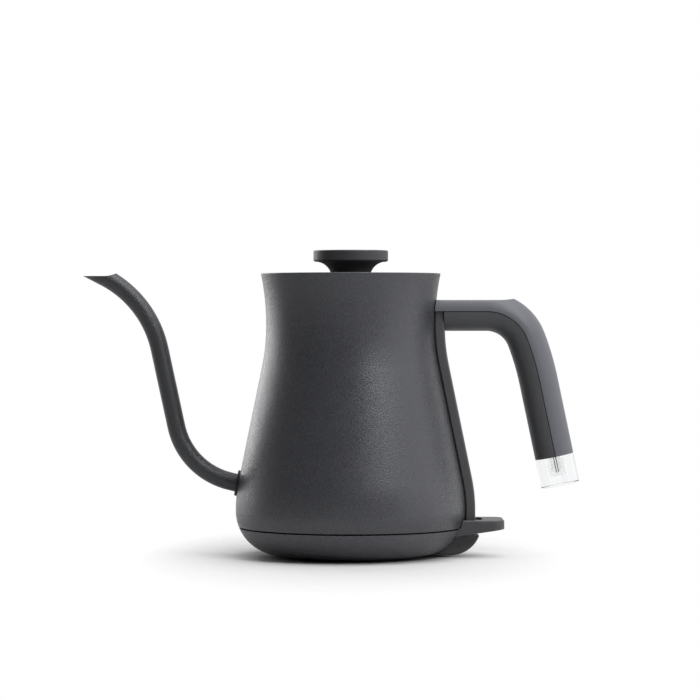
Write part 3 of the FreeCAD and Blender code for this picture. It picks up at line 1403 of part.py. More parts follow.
def main():
    """Make every piece and write it."""
    shell = make_body_shell()
    hull = handle_hull()
    save("body_shell", shell)
    save("mouth_ring", make_mouth_ring())
    save("spout", make_spout())
    save("spout_collar", make_spout_collar())
    save("lid_plate", make_lid_plate())
    save("lid_gasket", make_lid_gasket())
    save("lid_pan", make_lid_pan())
    save("knob_washer", make_knob_washer())
    save("knob_stem", make_knob_stem())
    save("knob_cap", make_knob_cap())
    save("knob_screw", make_knob_screw())
    save("floor_plate", make_floor_plate())
    save("heat_spreader", make_heat_spreader())
    save("heating_element", make_heating_element())
    save("element_terminals", make_element_terminals())
    save("base_posts", make_base_posts())
    save("lower_housing", make_lower_housing())
    save("seam_gasket", make_seam_gasket())
    save("base_cover", make_base_cover())
    save("foot_ring", make_foot_ring())
    save("base_screws", make_base_screws())
    save("connector_socket", make_connector_socket())
    save("connector_contacts", make_connector_contacts())
    save("control_block", make_control_block())
    save("control_screws", make_control_screws())
    save("dry_boil_discs", make_dry_boil_discs())
    save("contact_cover", make_contact_cover())
    save("fixed_contacts", make_fixed_contacts())
    save("switch_lever", make_switch_lever())
    save("lever_pin", make_lever_pin())
    save("contact_plunger", make_contact_plunger())
    save("contact_bridge", make_contact_bridge())
    save("plunger_spring", make_plunger_spring())
    save("tail_housing", make_tail_housing())
    save("bimetal_carrier", make_bimetal_carrier())
    save("steam_bimetal", make_steam_bimetal())
    save("spine_cover", make_spine_cover())
    save("steam_tube", make_steam_tube())
    save("steam_grommet", make_steam_grommet(shell))
    save("handle_top_shell", make_handle_top_shell(hull))
    save("handle_under_shell", make_handle_under_shell(hull))
    save("handle_bracket", make_handle_bracket())
    save("handle_screws", make_handle_screws())
    save("lamp_cap", make_lamp_cap())
    save("lamp_bulb", make_lamp_bulb())
    save("lamp_electrodes", make_lamp_electrodes())
    save("lamp_holder", make_lamp_holder())
    save("lamp_leads", make_lamp_leads())


main()
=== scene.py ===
"""A gooseneck electric kettle in a white studio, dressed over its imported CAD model.

The CAD nodes stay where they are and take procedural finishes. Each sub-assembly of the
kettle is a class with its own sizes, and a studio class holds the floor, lights and camera.
Four small pieces are modelled here: a fill mark, and a spring, a bulb and its wires that
stand for CAD nodes.
Everything is in metres: +Z up, the spout towards -X, the handle towards +X.
"""

import json
import logging
import math
from dataclasses import dataclass
from enum import Enum
from typing import ClassVar

import bpy
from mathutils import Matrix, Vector

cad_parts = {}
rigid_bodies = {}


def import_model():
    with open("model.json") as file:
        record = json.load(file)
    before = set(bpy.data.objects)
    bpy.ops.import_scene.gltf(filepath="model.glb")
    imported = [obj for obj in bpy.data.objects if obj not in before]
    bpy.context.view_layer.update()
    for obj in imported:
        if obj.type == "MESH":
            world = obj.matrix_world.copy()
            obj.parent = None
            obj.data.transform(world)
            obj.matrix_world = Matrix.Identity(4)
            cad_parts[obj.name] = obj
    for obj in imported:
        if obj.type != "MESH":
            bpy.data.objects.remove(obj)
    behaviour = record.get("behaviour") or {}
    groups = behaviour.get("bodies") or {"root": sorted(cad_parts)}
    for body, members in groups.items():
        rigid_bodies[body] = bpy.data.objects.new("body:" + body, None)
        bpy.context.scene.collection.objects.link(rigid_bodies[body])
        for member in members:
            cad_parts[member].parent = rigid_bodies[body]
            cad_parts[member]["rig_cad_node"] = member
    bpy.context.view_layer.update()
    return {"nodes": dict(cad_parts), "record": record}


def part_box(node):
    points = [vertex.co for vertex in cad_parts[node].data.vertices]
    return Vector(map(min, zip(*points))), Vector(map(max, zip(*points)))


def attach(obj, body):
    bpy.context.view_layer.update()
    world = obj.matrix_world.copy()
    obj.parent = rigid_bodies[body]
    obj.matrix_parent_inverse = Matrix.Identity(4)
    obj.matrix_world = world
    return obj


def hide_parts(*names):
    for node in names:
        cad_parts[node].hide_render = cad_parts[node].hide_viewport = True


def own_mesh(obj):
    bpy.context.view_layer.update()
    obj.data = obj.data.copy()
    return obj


Colour = tuple[float, float, float]
Point = tuple[float, float, float]
Span = tuple[float, float]
Socket = bpy.types.NodeSocket

LOG = logging.getLogger("kettle")
ORIGIN: Point = (0.0, 0.0, 0.0)
QUARTER_TURN = math.pi / 2
MERGE_DISTANCE = 1e-6
ROUND_SEGMENTS = 3
SMOOTH_ANGLE = math.radians(40)


# Finishes


class Grain(Enum):
    """The way that a finish's fine relief lies on the surface."""

    PEBBLE = "pebble"
    FINE = "fine"
    RINGS = "rings"
    DRAWN = "drawn"
    CAST = "cast"


class NodeBoard:
    """A node tree, with short calls that add nodes and join them."""

    def __init__(self, tree: bpy.types.NodeTree) -> None:
        """Empties a tree.

        Args:
            tree: The node tree of a material or a world.
        """
        self.tree = tree
        self.tree.nodes.clear()

    def add(self, kind: str, **settings: object) -> bpy.types.Node:
        """Adds one node.

        Args:
            kind: The node's type name.
            settings: Properties of the node, by name.

        Returns:
            The new node.
        """
        node = self.tree.nodes.new(kind)
        for key, value in settings.items():
            setattr(node, key, value)
        return node

    def join(self, source: Socket, target: Socket) -> None:
        """Links an output socket to an input socket."""
        self.tree.links.new(source, target)

    def maths(self, what: str, first: Socket, second: Socket | float) -> Socket:
        """Joins two values by arithmetic.

        Args:
            what: The operation, such as ADD.
            first: The first value.
            second: The second value, a socket or a number.

        Returns:
            The result.
        """
        node = self.add("ShaderNodeMath", operation=what)
        self.join(first, node.inputs[0])
        if isinstance(second, float):
            node.inputs[1].default_value = second
        else:
            self.join(second, node.inputs[1])
        return node.outputs[0]

    def span(
        self,
        value: Socket,
        low: float,
        high: float,
        start: float = 0.3,
        end: float = 0.7,
        shape: str = "LINEAR",
    ) -> Socket:
        """Stretches a value onto a new range.

        Args:
            value: The value, such as a pattern's.
            low: What start becomes.
            high: What end becomes.
            start: The value's low end.
            end: The value's high end.
            shape: How it goes from one end to the other.

        Returns:
            The value on its new range, clamped.
        """
        node = self.add("ShaderNodeMapRange", interpolation_type=shape)
        limits = {"From Min": start, "From Max": end, "To Min": low, "To Max": high}
        for key, limit in limits.items():
            node.inputs[key].default_value = limit
        self.join(value, node.inputs["Value"])
        return node.outputs["Result"]


class MaterialBoard(NodeBoard):
    """The node tree of a new material, with the patterns that finishes are made of.

    Attributes:
        cell_smoothness: How far the cells of a pattern run into each other.
        edge_samples: How many rays look for an edge.
        edge_likeness: How alike the rounded and the true normal are on an edge and off it.
        gap_samples: How many rays look for the gaps where shade is painted.
        gap_openness: How much of the surroundings is open deep in a gap and off it, for the painted
            shade.
        mix_sockets: A mix node's first input and its output, by the type of its data.
    """

    cell_smoothness: ClassVar[float] = 0.6
    edge_samples: ClassVar[int] = 4
    edge_likeness: ClassVar[Span] = (0.8, 0.97)
    gap_samples: ClassVar[int] = 6
    gap_openness: ClassVar[Span] = (0.15, 0.7)
    mix_sockets: ClassVar[dict[str, tuple[int, int]]] = {"FLOAT": (2, 0), "RGBA": (6, 2)}

    def __init__(self, name: str) -> None:
        """Starts an empty material.

        Args:
            name: The material's name.
        """
        self.material = bpy.data.materials.new(name)
        self.material.use_nodes = True
        super().__init__(self.material.node_tree)
        self.place = self.add("ShaderNodeTexCoord").outputs["Object"]

    def noise(self, size: float, detail: float, place: Socket) -> Socket:
        """Adds a noise pattern.

        Args:
            size: About how wide one blot of the pattern is, in metres.
            detail: How many finer octaves it has.
            place: The coordinates that it is laid on.

        Returns:
            The pattern's value, from 0 to 1.
        """
        node = self.add("ShaderNodeTexNoise")
        node.inputs["Scale"].default_value = 1 / size
        node.inputs["Detail"].default_value = detail
        self.join(place, node.inputs["Vector"])
        return node.outputs["Fac"]

    def cells(self, size: float, place: Socket) -> Socket:
        """Adds a pattern of rounded cells.

        Args:
            size: How wide one cell is, in metres.
            place: The coordinates that it is laid on.

        Returns:
            The distance from each cell's middle.
        """
        node = self.add("ShaderNodeTexVoronoi", feature="SMOOTH_F1")
        node.inputs["Scale"].default_value = 1 / size
        node.inputs["Smoothness"].default_value = self.cell_smoothness
        self.join(place, node.inputs["Vector"])
        return node.outputs["Distance"]

    def pick(self, mask: Socket, first: Socket, second: Socket, kind: str = "FLOAT") -> Socket:
        """Takes the second value where the mask is 1 and the first elsewhere.

        Args:
            mask: Where the second value shows.
            first: The value where the mask is 0.
            second: The value where the mask is 1.
            kind: FLOAT for numbers, RGBA for colours.

        Returns:
            The picked value.
        """
        node = self.add("ShaderNodeMix", data_type=kind)
        start, result = self.mix_sockets[kind]
        self.join(mask, node.inputs[0])
        self.join(first, node.inputs[start])
        self.join(second, node.inputs[start + 1])
        return node.outputs[result]

    def along(self, first: Socket, second: Socket) -> Socket:
        """Measures one vector along another.

        Args:
            first: The first vector.
            second: The second vector.

        Returns:
            Their dot product.
        """
        node = self.add("ShaderNodeVectorMath", operation="DOT_PRODUCT")
        self.join(first, node.inputs[0])
        self.join(second, node.inputs[1])
        return node.outputs["Value"]

    def normal(self) -> Socket:
        """Returns the surface's normal."""
        return self.add("ShaderNodeNewGeometry").outputs["Normal"]

    def edges(self, reach: float) -> Socket:
        """Finds the edges of the piece.

        Args:
            reach: How far an edge is felt, in metres.

        Returns:
            1 on sharp edges, falling to 0 on open surfaces.
        """
        rounded = self.add("ShaderNodeBevel", samples=self.edge_samples)
        rounded.inputs["Radius"].default_value = reach
        likeness = self.along(rounded.outputs[0], self.normal())
        return self.span(likeness, 1.0, 0.0, *self.edge_likeness)

    def crevices(self, reach: float) -> Socket:
        """Finds the gaps and inner corners of the piece and its neighbours, to paint shade there.

        Args:
            reach: How far a neighbouring surface is felt, in metres.

        Returns:
            0 deep in a gap, rising to 1 on open surfaces.
        """
        hidden = self.add("ShaderNodeAmbientOcclusion", samples=self.gap_samples)
        hidden.inputs["Distance"].default_value = reach
        return self.span(hidden.outputs["AO"], 0.0, 1.0, *self.gap_openness)

    def shaded(self, colour: Socket, share: Socket) -> Socket:
        """Dims a colour.

        Args:
            colour: The colour.
            share: How much of it is left, from 0 to 1.

        Returns:
            The dimmed colour.
        """
        node = self.add("ShaderNodeVectorMath", operation="SCALE")
        self.join(colour, node.inputs[0])
        self.join(share, node.inputs["Scale"])
        return node.outputs["Vector"]

    def stretched(self, scale: Point) -> Socket:
        """Stretches or squeezes Object coordinates.

        Args:
            scale: The scale along each axis.

        Returns:
            The scaled coordinates.
        """
        node = self.add("ShaderNodeMapping")
        node.inputs["Scale"].default_value = scale
        self.join(self.place, node.inputs["Vector"])
        return node.outputs["Vector"]

    def turned(self) -> Socket:
        """Lays radius and height out as coordinates, so that patterns run round the Z axis.

        Returns:
            The coordinates.
        """
        split = self.add("ShaderNodeSeparateXYZ")
        self.join(self.place, split.inputs[0])
        squares = [self.maths("POWER", split.outputs[axis], 2.0) for axis in ("X", "Y")]
        radius = self.maths("SQRT", self.maths("ADD", *squares), 0.0)
        joined = self.add("ShaderNodeCombineXYZ")
        self.join(radius, joined.inputs["X"])
        self.join(split.outputs["Z"], joined.inputs["Y"])
        return joined.outputs[0]

    def end_in(self, shader: bpy.types.Node) -> None:
        """Makes a shader the material's surface."""
        output = self.add("ShaderNodeOutputMaterial")
        self.join(shader.outputs[0], output.inputs["Surface"])

    def surface(self, roughness: Socket, relief: Socket, depth: float) -> bpy.types.Node:
        """Ends the tree in one shader.

        Args:
            roughness: The surface's roughness.
            relief: The height of its relief, about 0 to 1.
            depth: The height in metres where relief is 1.

        Returns:
            The shader.
        """
        shader = self.add("ShaderNodeBsdfPrincipled")
        self.join(roughness, shader.inputs["Roughness"])
        bump = self.add("ShaderNodeBump")
        bump.inputs["Strength"].default_value = 1.0
        bump.inputs["Distance"].default_value = depth
        self.join(relief, bump.inputs["Height"])
        self.join(bump.outputs[0], shader.inputs["Normal"])
        self.end_in(shader)
        return shader


@dataclass(frozen=True)
class Finish:
    """A surface finish and its fine relief.

    Attributes:
        name: The finish's name.
        colour: Its middle colour.
        roughness: Its middle roughness.
        metallic: 1 for bare metal.
        specular: How strongly it mirrors when looked at squarely.
        mirror_tint: The tint of what it mirrors.
        drift: The share by which its colour wanders.
        drift_size: The width of a colour blot, in metres.
        grain: How its relief is laid out.
        grain_size: The width of one grain, in metres.
        grain_depth: The height of one grain, in metres.
        grain_gloss: The share by which the grain's tops are smoother and its hollows rougher.
        wear: The share by which rubbed edges are lighter.
        wear_reach: How far from an edge the rubbing reaches, in metres.
        grime_reach: How far from a gap the painted shade reaches, in metres.
        grime: The share of the colour that the painted shade leaves deep in a gap.
        soft_detail: The finer octaves of pebbles.
        fine_detail: The finer octaves of a fine or cast grain, and of smears.
        line_detail: The finer octaves of rings and drawn lines.
        blot_detail: The finer octaves of colour blots.
        pebble_range: The values of the noise that are a pebble's foot and its top.
        drawn_out: How the coordinates of drawn lines are squeezed along each axis.
        grit: How many times finer the grit on cast lumps is than the lumps.
        shades: The shades at which the colour is darkest, lightest and rubbed.
        shares: How much relief, blots and rubbing each count in the shade.
        smear: The share by which the roughness wanders.
        smear_size: The width of a smear, as a share of a colour blot's.
    """

    name: str
    colour: Colour
    roughness: float
    metallic: float = 0.0
    specular: float = 0.5
    mirror_tint: Colour = (1.0, 1.0, 1.0)
    drift: float = 0.08
    drift_size: float = 0.03
    grain: Grain = Grain.FINE
    grain_size: float = 0.0004
    grain_depth: float = 0.00002
    grain_gloss: float = 0.0
    wear: float = 0.25
    wear_reach: float = 0.0006
    grime_reach: float = 0.0012
    grime: float = 0.2

    soft_detail: ClassVar[float] = 1.0
    fine_detail: ClassVar[float] = 3.0
    line_detail: ClassVar[float] = 4.0
    blot_detail: ClassVar[float] = 2.0
    pebble_range: ClassVar[Span] = (0.25, 0.75)
    drawn_out: ClassVar[Point] = (0.05, 1.0, 1.0)
    grit: ClassVar[float] = 3.0
    shades: ClassVar[tuple[float, float, float]] = (0.2, 0.7, 1.0)
    shares: ClassVar[tuple[float, float, float]] = (0.25, 0.5, 0.5)
    smear: ClassVar[float] = 0.07
    smear_size: ClassVar[float] = 0.6

    def material(self) -> bpy.types.Material:
        """Builds the finish's node material.

        Returns:
            The material.
        """
        board = MaterialBoard(self.name)
        relief = self.relief(board)
        shader = board.surface(self.gloss(board, relief), relief, self.grain_depth)
        board.join(self.tint(board, relief), shader.inputs["Base Color"])
        shader.inputs["Metallic"].default_value = self.metallic
        self.set_mirror(shader)
        return board.material

    def set_mirror(self, shader: bpy.types.Node) -> None:
        """Sets how strongly a shader mirrors, and in what tint."""
        shader.inputs["Specular IOR Level"].default_value = self.specular
        shader.inputs["Specular Tint"].default_value = (*self.mirror_tint, 1.0)

    def relief(self, board: MaterialBoard) -> Socket:
        """Lays out the fine relief.

        Args:
            board: The material's node tree.

        Returns:
            The relief's height, about 0 to 1.
        """
        if self.grain is Grain.PEBBLE:
            pebbles = board.noise(self.grain_size, self.soft_detail, board.place)
            return board.span(pebbles, 0.0, 1.0, *self.pebble_range)
        if self.grain is Grain.RINGS:
            return board.noise(self.grain_size, self.line_detail, board.turned())
        if self.grain is Grain.DRAWN:
            lines = board.stretched(self.drawn_out)
            return board.noise(self.grain_size, self.line_detail, lines)
        if self.grain is Grain.CAST:
            lumps = board.cells(self.grain_size, board.place)
            grit = board.noise(self.grain_size / self.grit, self.fine_detail, board.place)
            return board.maths("ADD", lumps, grit)
        return board.noise(self.grain_size, self.fine_detail, board.place)

    def tint(self, board: MaterialBoard, relief: Socket) -> Socket:
        """Lets the colour wander, darkens the grain's hollows, paints shade into gaps and
        lightens rubbed edges.

        Args:
            board: The material's node tree.
            relief: The relief's height.

        Returns:
            The colour.
        """
        ramp = board.add("ShaderNodeValToRGB")
        stops = ramp.color_ramp.elements
        stops.new(self.shades[1])
        levels = (1 - self.drift, 1 + self.drift, 1 + self.wear)
        for stop, shade, level in zip(stops, self.shades, levels):
            stop.position = shade
            stop.color = (*(level * part for part in self.colour), 1.0)
        blots = board.noise(self.drift_size, self.blot_detail, board.place)
        causes = (relief, blots, board.edges(self.wear_reach))
        parts = [
            board.maths("MULTIPLY", cause, share) for cause, share in zip(causes, self.shares)
        ]
        shade = board.maths("ADD", board.maths("ADD", parts[0], parts[1]), parts[2])
        board.join(shade, ramp.inputs["Fac"])
        # Painted shade: the colour darkens in gaps and inner corners, where shade falls.
        unshaded_share = board.span(board.crevices(self.grime_reach), self.grime, 1.0, 0.0, 1.0)
        return board.shaded(ramp.outputs["Color"], unshaded_share)

    def gloss(self, board: MaterialBoard, relief: Socket) -> Socket:
        """Lets the roughness wander a little, as handled surfaces do, and follow the grain.

        Args:
            board: The material's node tree.
            relief: The relief's height.

        Returns:
            The roughness.
        """
        smears = board.noise(self.smear_size * self.drift_size, self.fine_detail, board.place)
        smooth, rough = ((1 + wander) * self.roughness for wander in (-self.smear, self.smear))
        even = board.span(smears, smooth, rough)
        if not self.grain_gloss:
            return even
        worn = board.span(relief, 1 + self.grain_gloss, 1 - self.grain_gloss, 0.0, 1.0)
        return board.maths("MULTIPLY", even, worn)


@dataclass(frozen=True)
class LinedFinish(Finish):
    """A coat on the outside of a turned vessel whose inside is left bare.

    Attributes:
        lining: The finish of the inside.
        inward: Where a normal's part along the radius is below this, a face is the inside's.
    """

    lining: Finish | None = None

    inward: ClassVar[float] = -0.01

    def material(self) -> bpy.types.Material:
        """Builds the node material of both sides.

        Returns:
            The material.
        """
        board = MaterialBoard(self.name)
        inside = self.inside(board)
        coat, bare = self.relief(board), self.lining.relief(board)
        roughness = board.pick(inside, self.gloss(board, coat), self.lining.gloss(board, bare))
        brushed = board.maths("MULTIPLY", bare, self.lining.grain_depth / self.grain_depth)
        relief = board.pick(inside, coat, brushed)
        shader = board.surface(roughness, relief, self.grain_depth)
        tints = (self.tint(board, coat), self.lining.tint(board, bare))
        board.join(board.pick(inside, *tints, kind="RGBA"), shader.inputs["Base Color"])
        board.join(inside, shader.inputs["Metallic"])
        self.set_mirror(shader)
        return board.material

    def inside(self, board: MaterialBoard) -> Socket:
        """Finds the faces that look towards the Z axis.

        Args:
            board: The material's node tree.

        Returns:
            1 on the inside and 0 on the outside.
        """
        outward = board.along(board.normal(), board.stretched((1.0, 1.0, 0.0)))
        return board.maths("LESS_THAN", outward, self.inward)


@dataclass(frozen=True)
class ClearFinish:
    """A clear moulding or blown glass.

    Attributes:
        name: The finish's name.
        colour: The tint of what passes through.
        roughness: How far it blurs.
        ior: How strongly it bends what passes through.
        gloss: How strongly its polished skin mirrors.
        gloss_roughness: How far the skin's mirroring is blurred.
        ripple_size: The width of a ripple in its surface, in metres.
        ripple_depth: The height of a ripple, in metres.
        ripple_detail: The finer octaves of the ripples.
        clearest: The share of the roughness where it is clearest.
    """

    name: str
    colour: Colour
    roughness: float
    ior: float
    gloss: float = 1.0
    gloss_roughness: float = 0.03
    ripple_size: float = 0.006
    ripple_depth: float = 0.00001

    ripple_detail: ClassVar[float] = 1.0
    clearest: ClassVar[float] = 0.5

    def material(self) -> bpy.types.Material:
        """Builds the finish's node material.

        Returns:
            The material.
        """
        board = MaterialBoard(self.name)
        ripples = board.noise(self.ripple_size, self.ripple_detail, board.place)
        blur = board.span(ripples, self.clearest * self.roughness, self.roughness)
        shader = board.surface(blur, ripples, self.ripple_depth)
        shader.inputs["Base Color"].default_value = (*self.colour, 1.0)
        shader.inputs["Transmission Weight"].default_value = 1.0
        shader.inputs["IOR"].default_value = self.ior
        shader.inputs["Coat Weight"].default_value = self.gloss
        shader.inputs["Coat Roughness"].default_value = self.gloss_roughness
        return board.material


COOL: Colour = (0.95, 0.96, 1.0)
STEEL = Finish(
    "inner_steel", (0.56, 0.56, 0.57), 0.3, metallic=1.0, wear=0.15,
    grain=Grain.RINGS, grain_size=0.0005, grain_depth=0.00001,
)


class Finishes(Enum):
    """Every finish of the kettle, by the record's material slot that it dresses.

    The collar at the spout's root shares the spout's slot, with a duller coat of its own,
    made darker to paint the shade that falls at the spout's root.
    """

    BODY_COAT = LinedFinish(
        "body_coat", (0.03, 0.0306, 0.0354), 0.37, specular=0.65, mirror_tint=COOL,
        grain=Grain.PEBBLE, grain_size=0.0005, grain_depth=0.00007, grain_gloss=0.6,
        lining=STEEL,
    )
    SPOUT_COAT = Finish(
        "spout_coat", (0.024, 0.0244, 0.0275), 0.36, specular=0.5, mirror_tint=COOL,
        grain=Grain.PEBBLE, grain_size=0.00055, grain_depth=0.00013,
    )
    # Painted shade: darker than the spout's coat, for the shade at the spout's root beside the
    # body.
    COLLAR_COAT = Finish(
        "collar_coat", (0.013, 0.0132, 0.0147), 0.5, specular=0.25, mirror_tint=COOL,
    )
    LID_COAT = Finish(
        "lid_coat", (0.03, 0.0306, 0.0354), 0.36, specular=0.65, mirror_tint=COOL,
        grain=Grain.PEBBLE, grain_size=0.0005, grain_depth=0.0001,
    )
    KNOB_PLASTIC = Finish("knob_plastic", (0.034, 0.0343, 0.0375), 0.48, specular=0.4)
    STEM_PLASTIC = Finish("stem_plastic", (0.028, 0.028, 0.03), 0.55, specular=0.3)
    # Painted light: lighter than the body's coat of the same grey, for the floor's light on the
    # skirt.
    HOUSING_PLASTIC = Finish(
        "housing_plastic", (0.047, 0.0478, 0.0543), 0.36, specular=0.6, mirror_tint=COOL,
        grain=Grain.PEBBLE, grain_size=0.00055, grain_depth=0.0002,
    )
    LEVER_PLASTIC = Finish("lever_plastic", (0.046, 0.0464, 0.05), 0.48, specular=0.4)
    TAIL_PLASTIC = Finish("tail_plastic", (0.055, 0.0554, 0.059), 0.5, specular=0.4)
    SPINE_PLASTIC = Finish("spine_plastic", (0.054, 0.0544, 0.0585), 0.5, specular=0.4)
    # Painted light: the top shell's plastic is a lighter copy of the under shell's, for the light
    # from above;
    # the under shell's darker plastic is the shaded copy.
    GRIP_TOP_PLASTIC = Finish(
        "grip_top_plastic", (0.093, 0.095, 0.107), 0.42, specular=0.4, mirror_tint=COOL,
        grain=Grain.PEBBLE, grain_size=0.00045, grain_depth=0.00005,
    )
    GRIP_UNDER_PLASTIC = Finish(
        "grip_under_plastic", (0.051, 0.0517, 0.056), 0.48, specular=0.4, mirror_tint=COOL,
        grain=Grain.PEBBLE, grain_size=0.00045, grain_depth=0.00005,
    )
    LAMP_CLEAR = ClearFinish("lamp_clear", (0.94, 0.946, 0.952), roughness=0.03, ior=1.08)
    LAMP_GLASS = ClearFinish("lamp_glass", (0.97, 0.97, 0.965), roughness=0.01, ior=1.06)
    ELECTRODE_STEEL = Finish(
        "electrode_steel", (0.12, 0.115, 0.11), 0.4, metallic=1.0,
        grain=Grain.DRAWN, grain_size=0.0003, grain_depth=0.00001,
    )
    BASE_PLASTIC = Finish("base_plastic", (0.03, 0.03, 0.031), 0.55, specular=0.4)
    FOOT_RUBBER = Finish(
        "foot_rubber", (0.014, 0.014, 0.014), 0.8, specular=0.25, grain_size=0.0008,
    )
    SEAM_RUBBER = Finish(
        "seam_rubber", (0.003, 0.003, 0.003), 0.9, specular=0.05, grain_size=0.0008,
    )
    SOCKET_PLASTIC = Finish("socket_plastic", (0.02, 0.02, 0.021), 0.45)
    CONTACT_BRASS = Finish(
        "contact_brass", (0.72, 0.5, 0.22), 0.3, metallic=1.0,
        grain=Grain.RINGS, grain_size=0.0003, grain_depth=0.000008,
    )
    INNER_PLASTIC = Finish("inner_plastic", (0.6, 0.57, 0.5), 0.5, grain_size=0.0006)
    INNER_STEEL = STEEL
    HARDWARE_STEEL = Finish(
        "hardware_steel", (0.5, 0.5, 0.51), 0.32, metallic=1.0,
        grain=Grain.DRAWN, grain_size=0.0004, grain_depth=0.00001,
    )
    ELEMENT_ALUMINIUM = Finish(
        "element_aluminium", (0.66, 0.66, 0.67), 0.45, metallic=1.0,
        grain=Grain.CAST, grain_size=0.0009, grain_depth=0.00004,
    )
    SEAL_RUBBER = Finish("seal_rubber", (0.6, 0.59, 0.55), 0.6, specular=0.3, grain_size=0.0007)
    LEAD_INSULATION = Finish(
        "lead_insulation", (0.7, 0.68, 0.62), 0.7, specular=0.2,
        grain=Grain.DRAWN, grain_size=0.0005, grain_depth=0.00004,
    )


class Paintbox:
    """Makes each finish's material once and hands it out."""

    def __init__(self, record: dict) -> None:
        """Reads which slot each CAD node takes.

        Args:
            record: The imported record.
        """
        self.slots: dict[str, str] = {
            part["node"]: part["material_slot"] for part in record["subparts"]
        }
        self.made: dict[str, bpy.types.Material] = {}

    def material(self, slot: str) -> bpy.types.Material:
        """Makes the material of one slot on first use.

        Args:
            slot: The slot's name.

        Returns:
            The material.
        """
        if slot not in self.made:
            self.made[slot] = Finishes[slot.upper()].value.material()
        return self.made[slot]

    def dress(self, node: bpy.types.Object, finish: str = "") -> None:
        """Gives a CAD node its material.

        Args:
            node: The node's object.
            finish: The finish that it wears, where that isn't its slot's.
        """
        slot = finish or self.slots[node["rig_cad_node"]]
        node.data.materials.clear()
        node.data.materials.append(self.material(slot))
        LOG.info("%s wears %s", node.name, slot)


# Sub-assemblies


class SubAssembly:
    """A group of CAD nodes that belong together.

    Attributes:
        name: What the group is called.
        nodes: The CAD nodes in it.
        finishes: The nodes whose finish isn't their slot's, with that finish.
    """

    name: ClassVar[str] = ""
    nodes: ClassVar[tuple[str, ...]] = ()
    finishes: ClassVar[dict[str, str]] = {}

    def build(self, paints: Paintbox) -> None:
        """Models the group's own small pieces, where it has any."""

    def open_piece(self, name: str) -> bpy.types.Object:
        """Names the mesh that was just added and opens it for editing, all of it selected.

        Args:
            name: The piece's name.

        Returns:
            The piece's object.
        """
        piece = bpy.context.object
        piece.name = piece.data.name = name
        bpy.ops.object.mode_set(mode="EDIT")
        bpy.ops.mesh.select_mode(type="VERT")
        bpy.ops.mesh.select_all(action="SELECT")
        return piece

    def turn(self, angle: float, axis: str) -> None:
        """Turns the selection round an axis through the origin."""
        bpy.ops.transform.rotate(value=angle, orient_axis=axis, center_override=ORIGIN)

    def draw_down(self, depth: float) -> None:
        """Extrudes the selection straight down."""
        bpy.ops.mesh.extrude_region_move(TRANSFORM_OT_translate={"value": (0.0, 0.0, -depth)})

    def face_outwards(self) -> None:
        """Turns every face of the open piece outwards."""
        bpy.ops.mesh.select_all(action="SELECT")
        bpy.ops.mesh.normals_make_consistent(inside=False)

    def close_ends(self) -> None:
        """Merges the open piece's doubled points, fills its ends and turns its faces outwards."""
        bpy.ops.mesh.select_all(action="SELECT")
        bpy.ops.mesh.remove_doubles(threshold=MERGE_DISTANCE)
        bpy.ops.mesh.fill_holes(sides=0)
        bpy.ops.mesh.normals_make_consistent(inside=False)

    def round_edges(self, piece: bpy.types.Object, width: float) -> None:
        """Rounds a piece's sharp edges and smooths its faces.

        Args:
            piece: The piece's object.
            width: The radius of the rounded edges.
        """
        rounding = piece.modifiers.new("round_edges", "BEVEL")
        rounding.width = width
        rounding.segments = ROUND_SEGMENTS
        rounding.limit_method = "ANGLE"
        bpy.ops.object.modifier_apply(modifier=rounding.name)
        bpy.ops.object.shade_smooth_by_angle(angle=SMOOTH_ANGLE)

    def seat(self, piece: bpy.types.Object, slot: str, paints: Paintbox) -> None:
        """Finishes a modelled piece and lets it ride on the kettle.

        Args:
            piece: The piece's object.
            slot: The material slot that it takes its finish from.
            paints: Where the materials come from.
        """
        piece.data.materials.append(paints.material(slot))
        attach(piece, "kettle")
        LOG.info("%s is built in %s", piece.name, slot)

    def dress(self, objects: dict[str, bpy.types.Object], paints: Paintbox) -> None:
        """Gives each node of the group its finish.

        Args:
            objects: The CAD nodes' objects, by name.
            paints: Where the materials come from.
        """
        LOG.info("dressing the %s", self.name)
        for node in self.nodes:
            paints.dress(objects[node], self.finishes.get(node, ""))


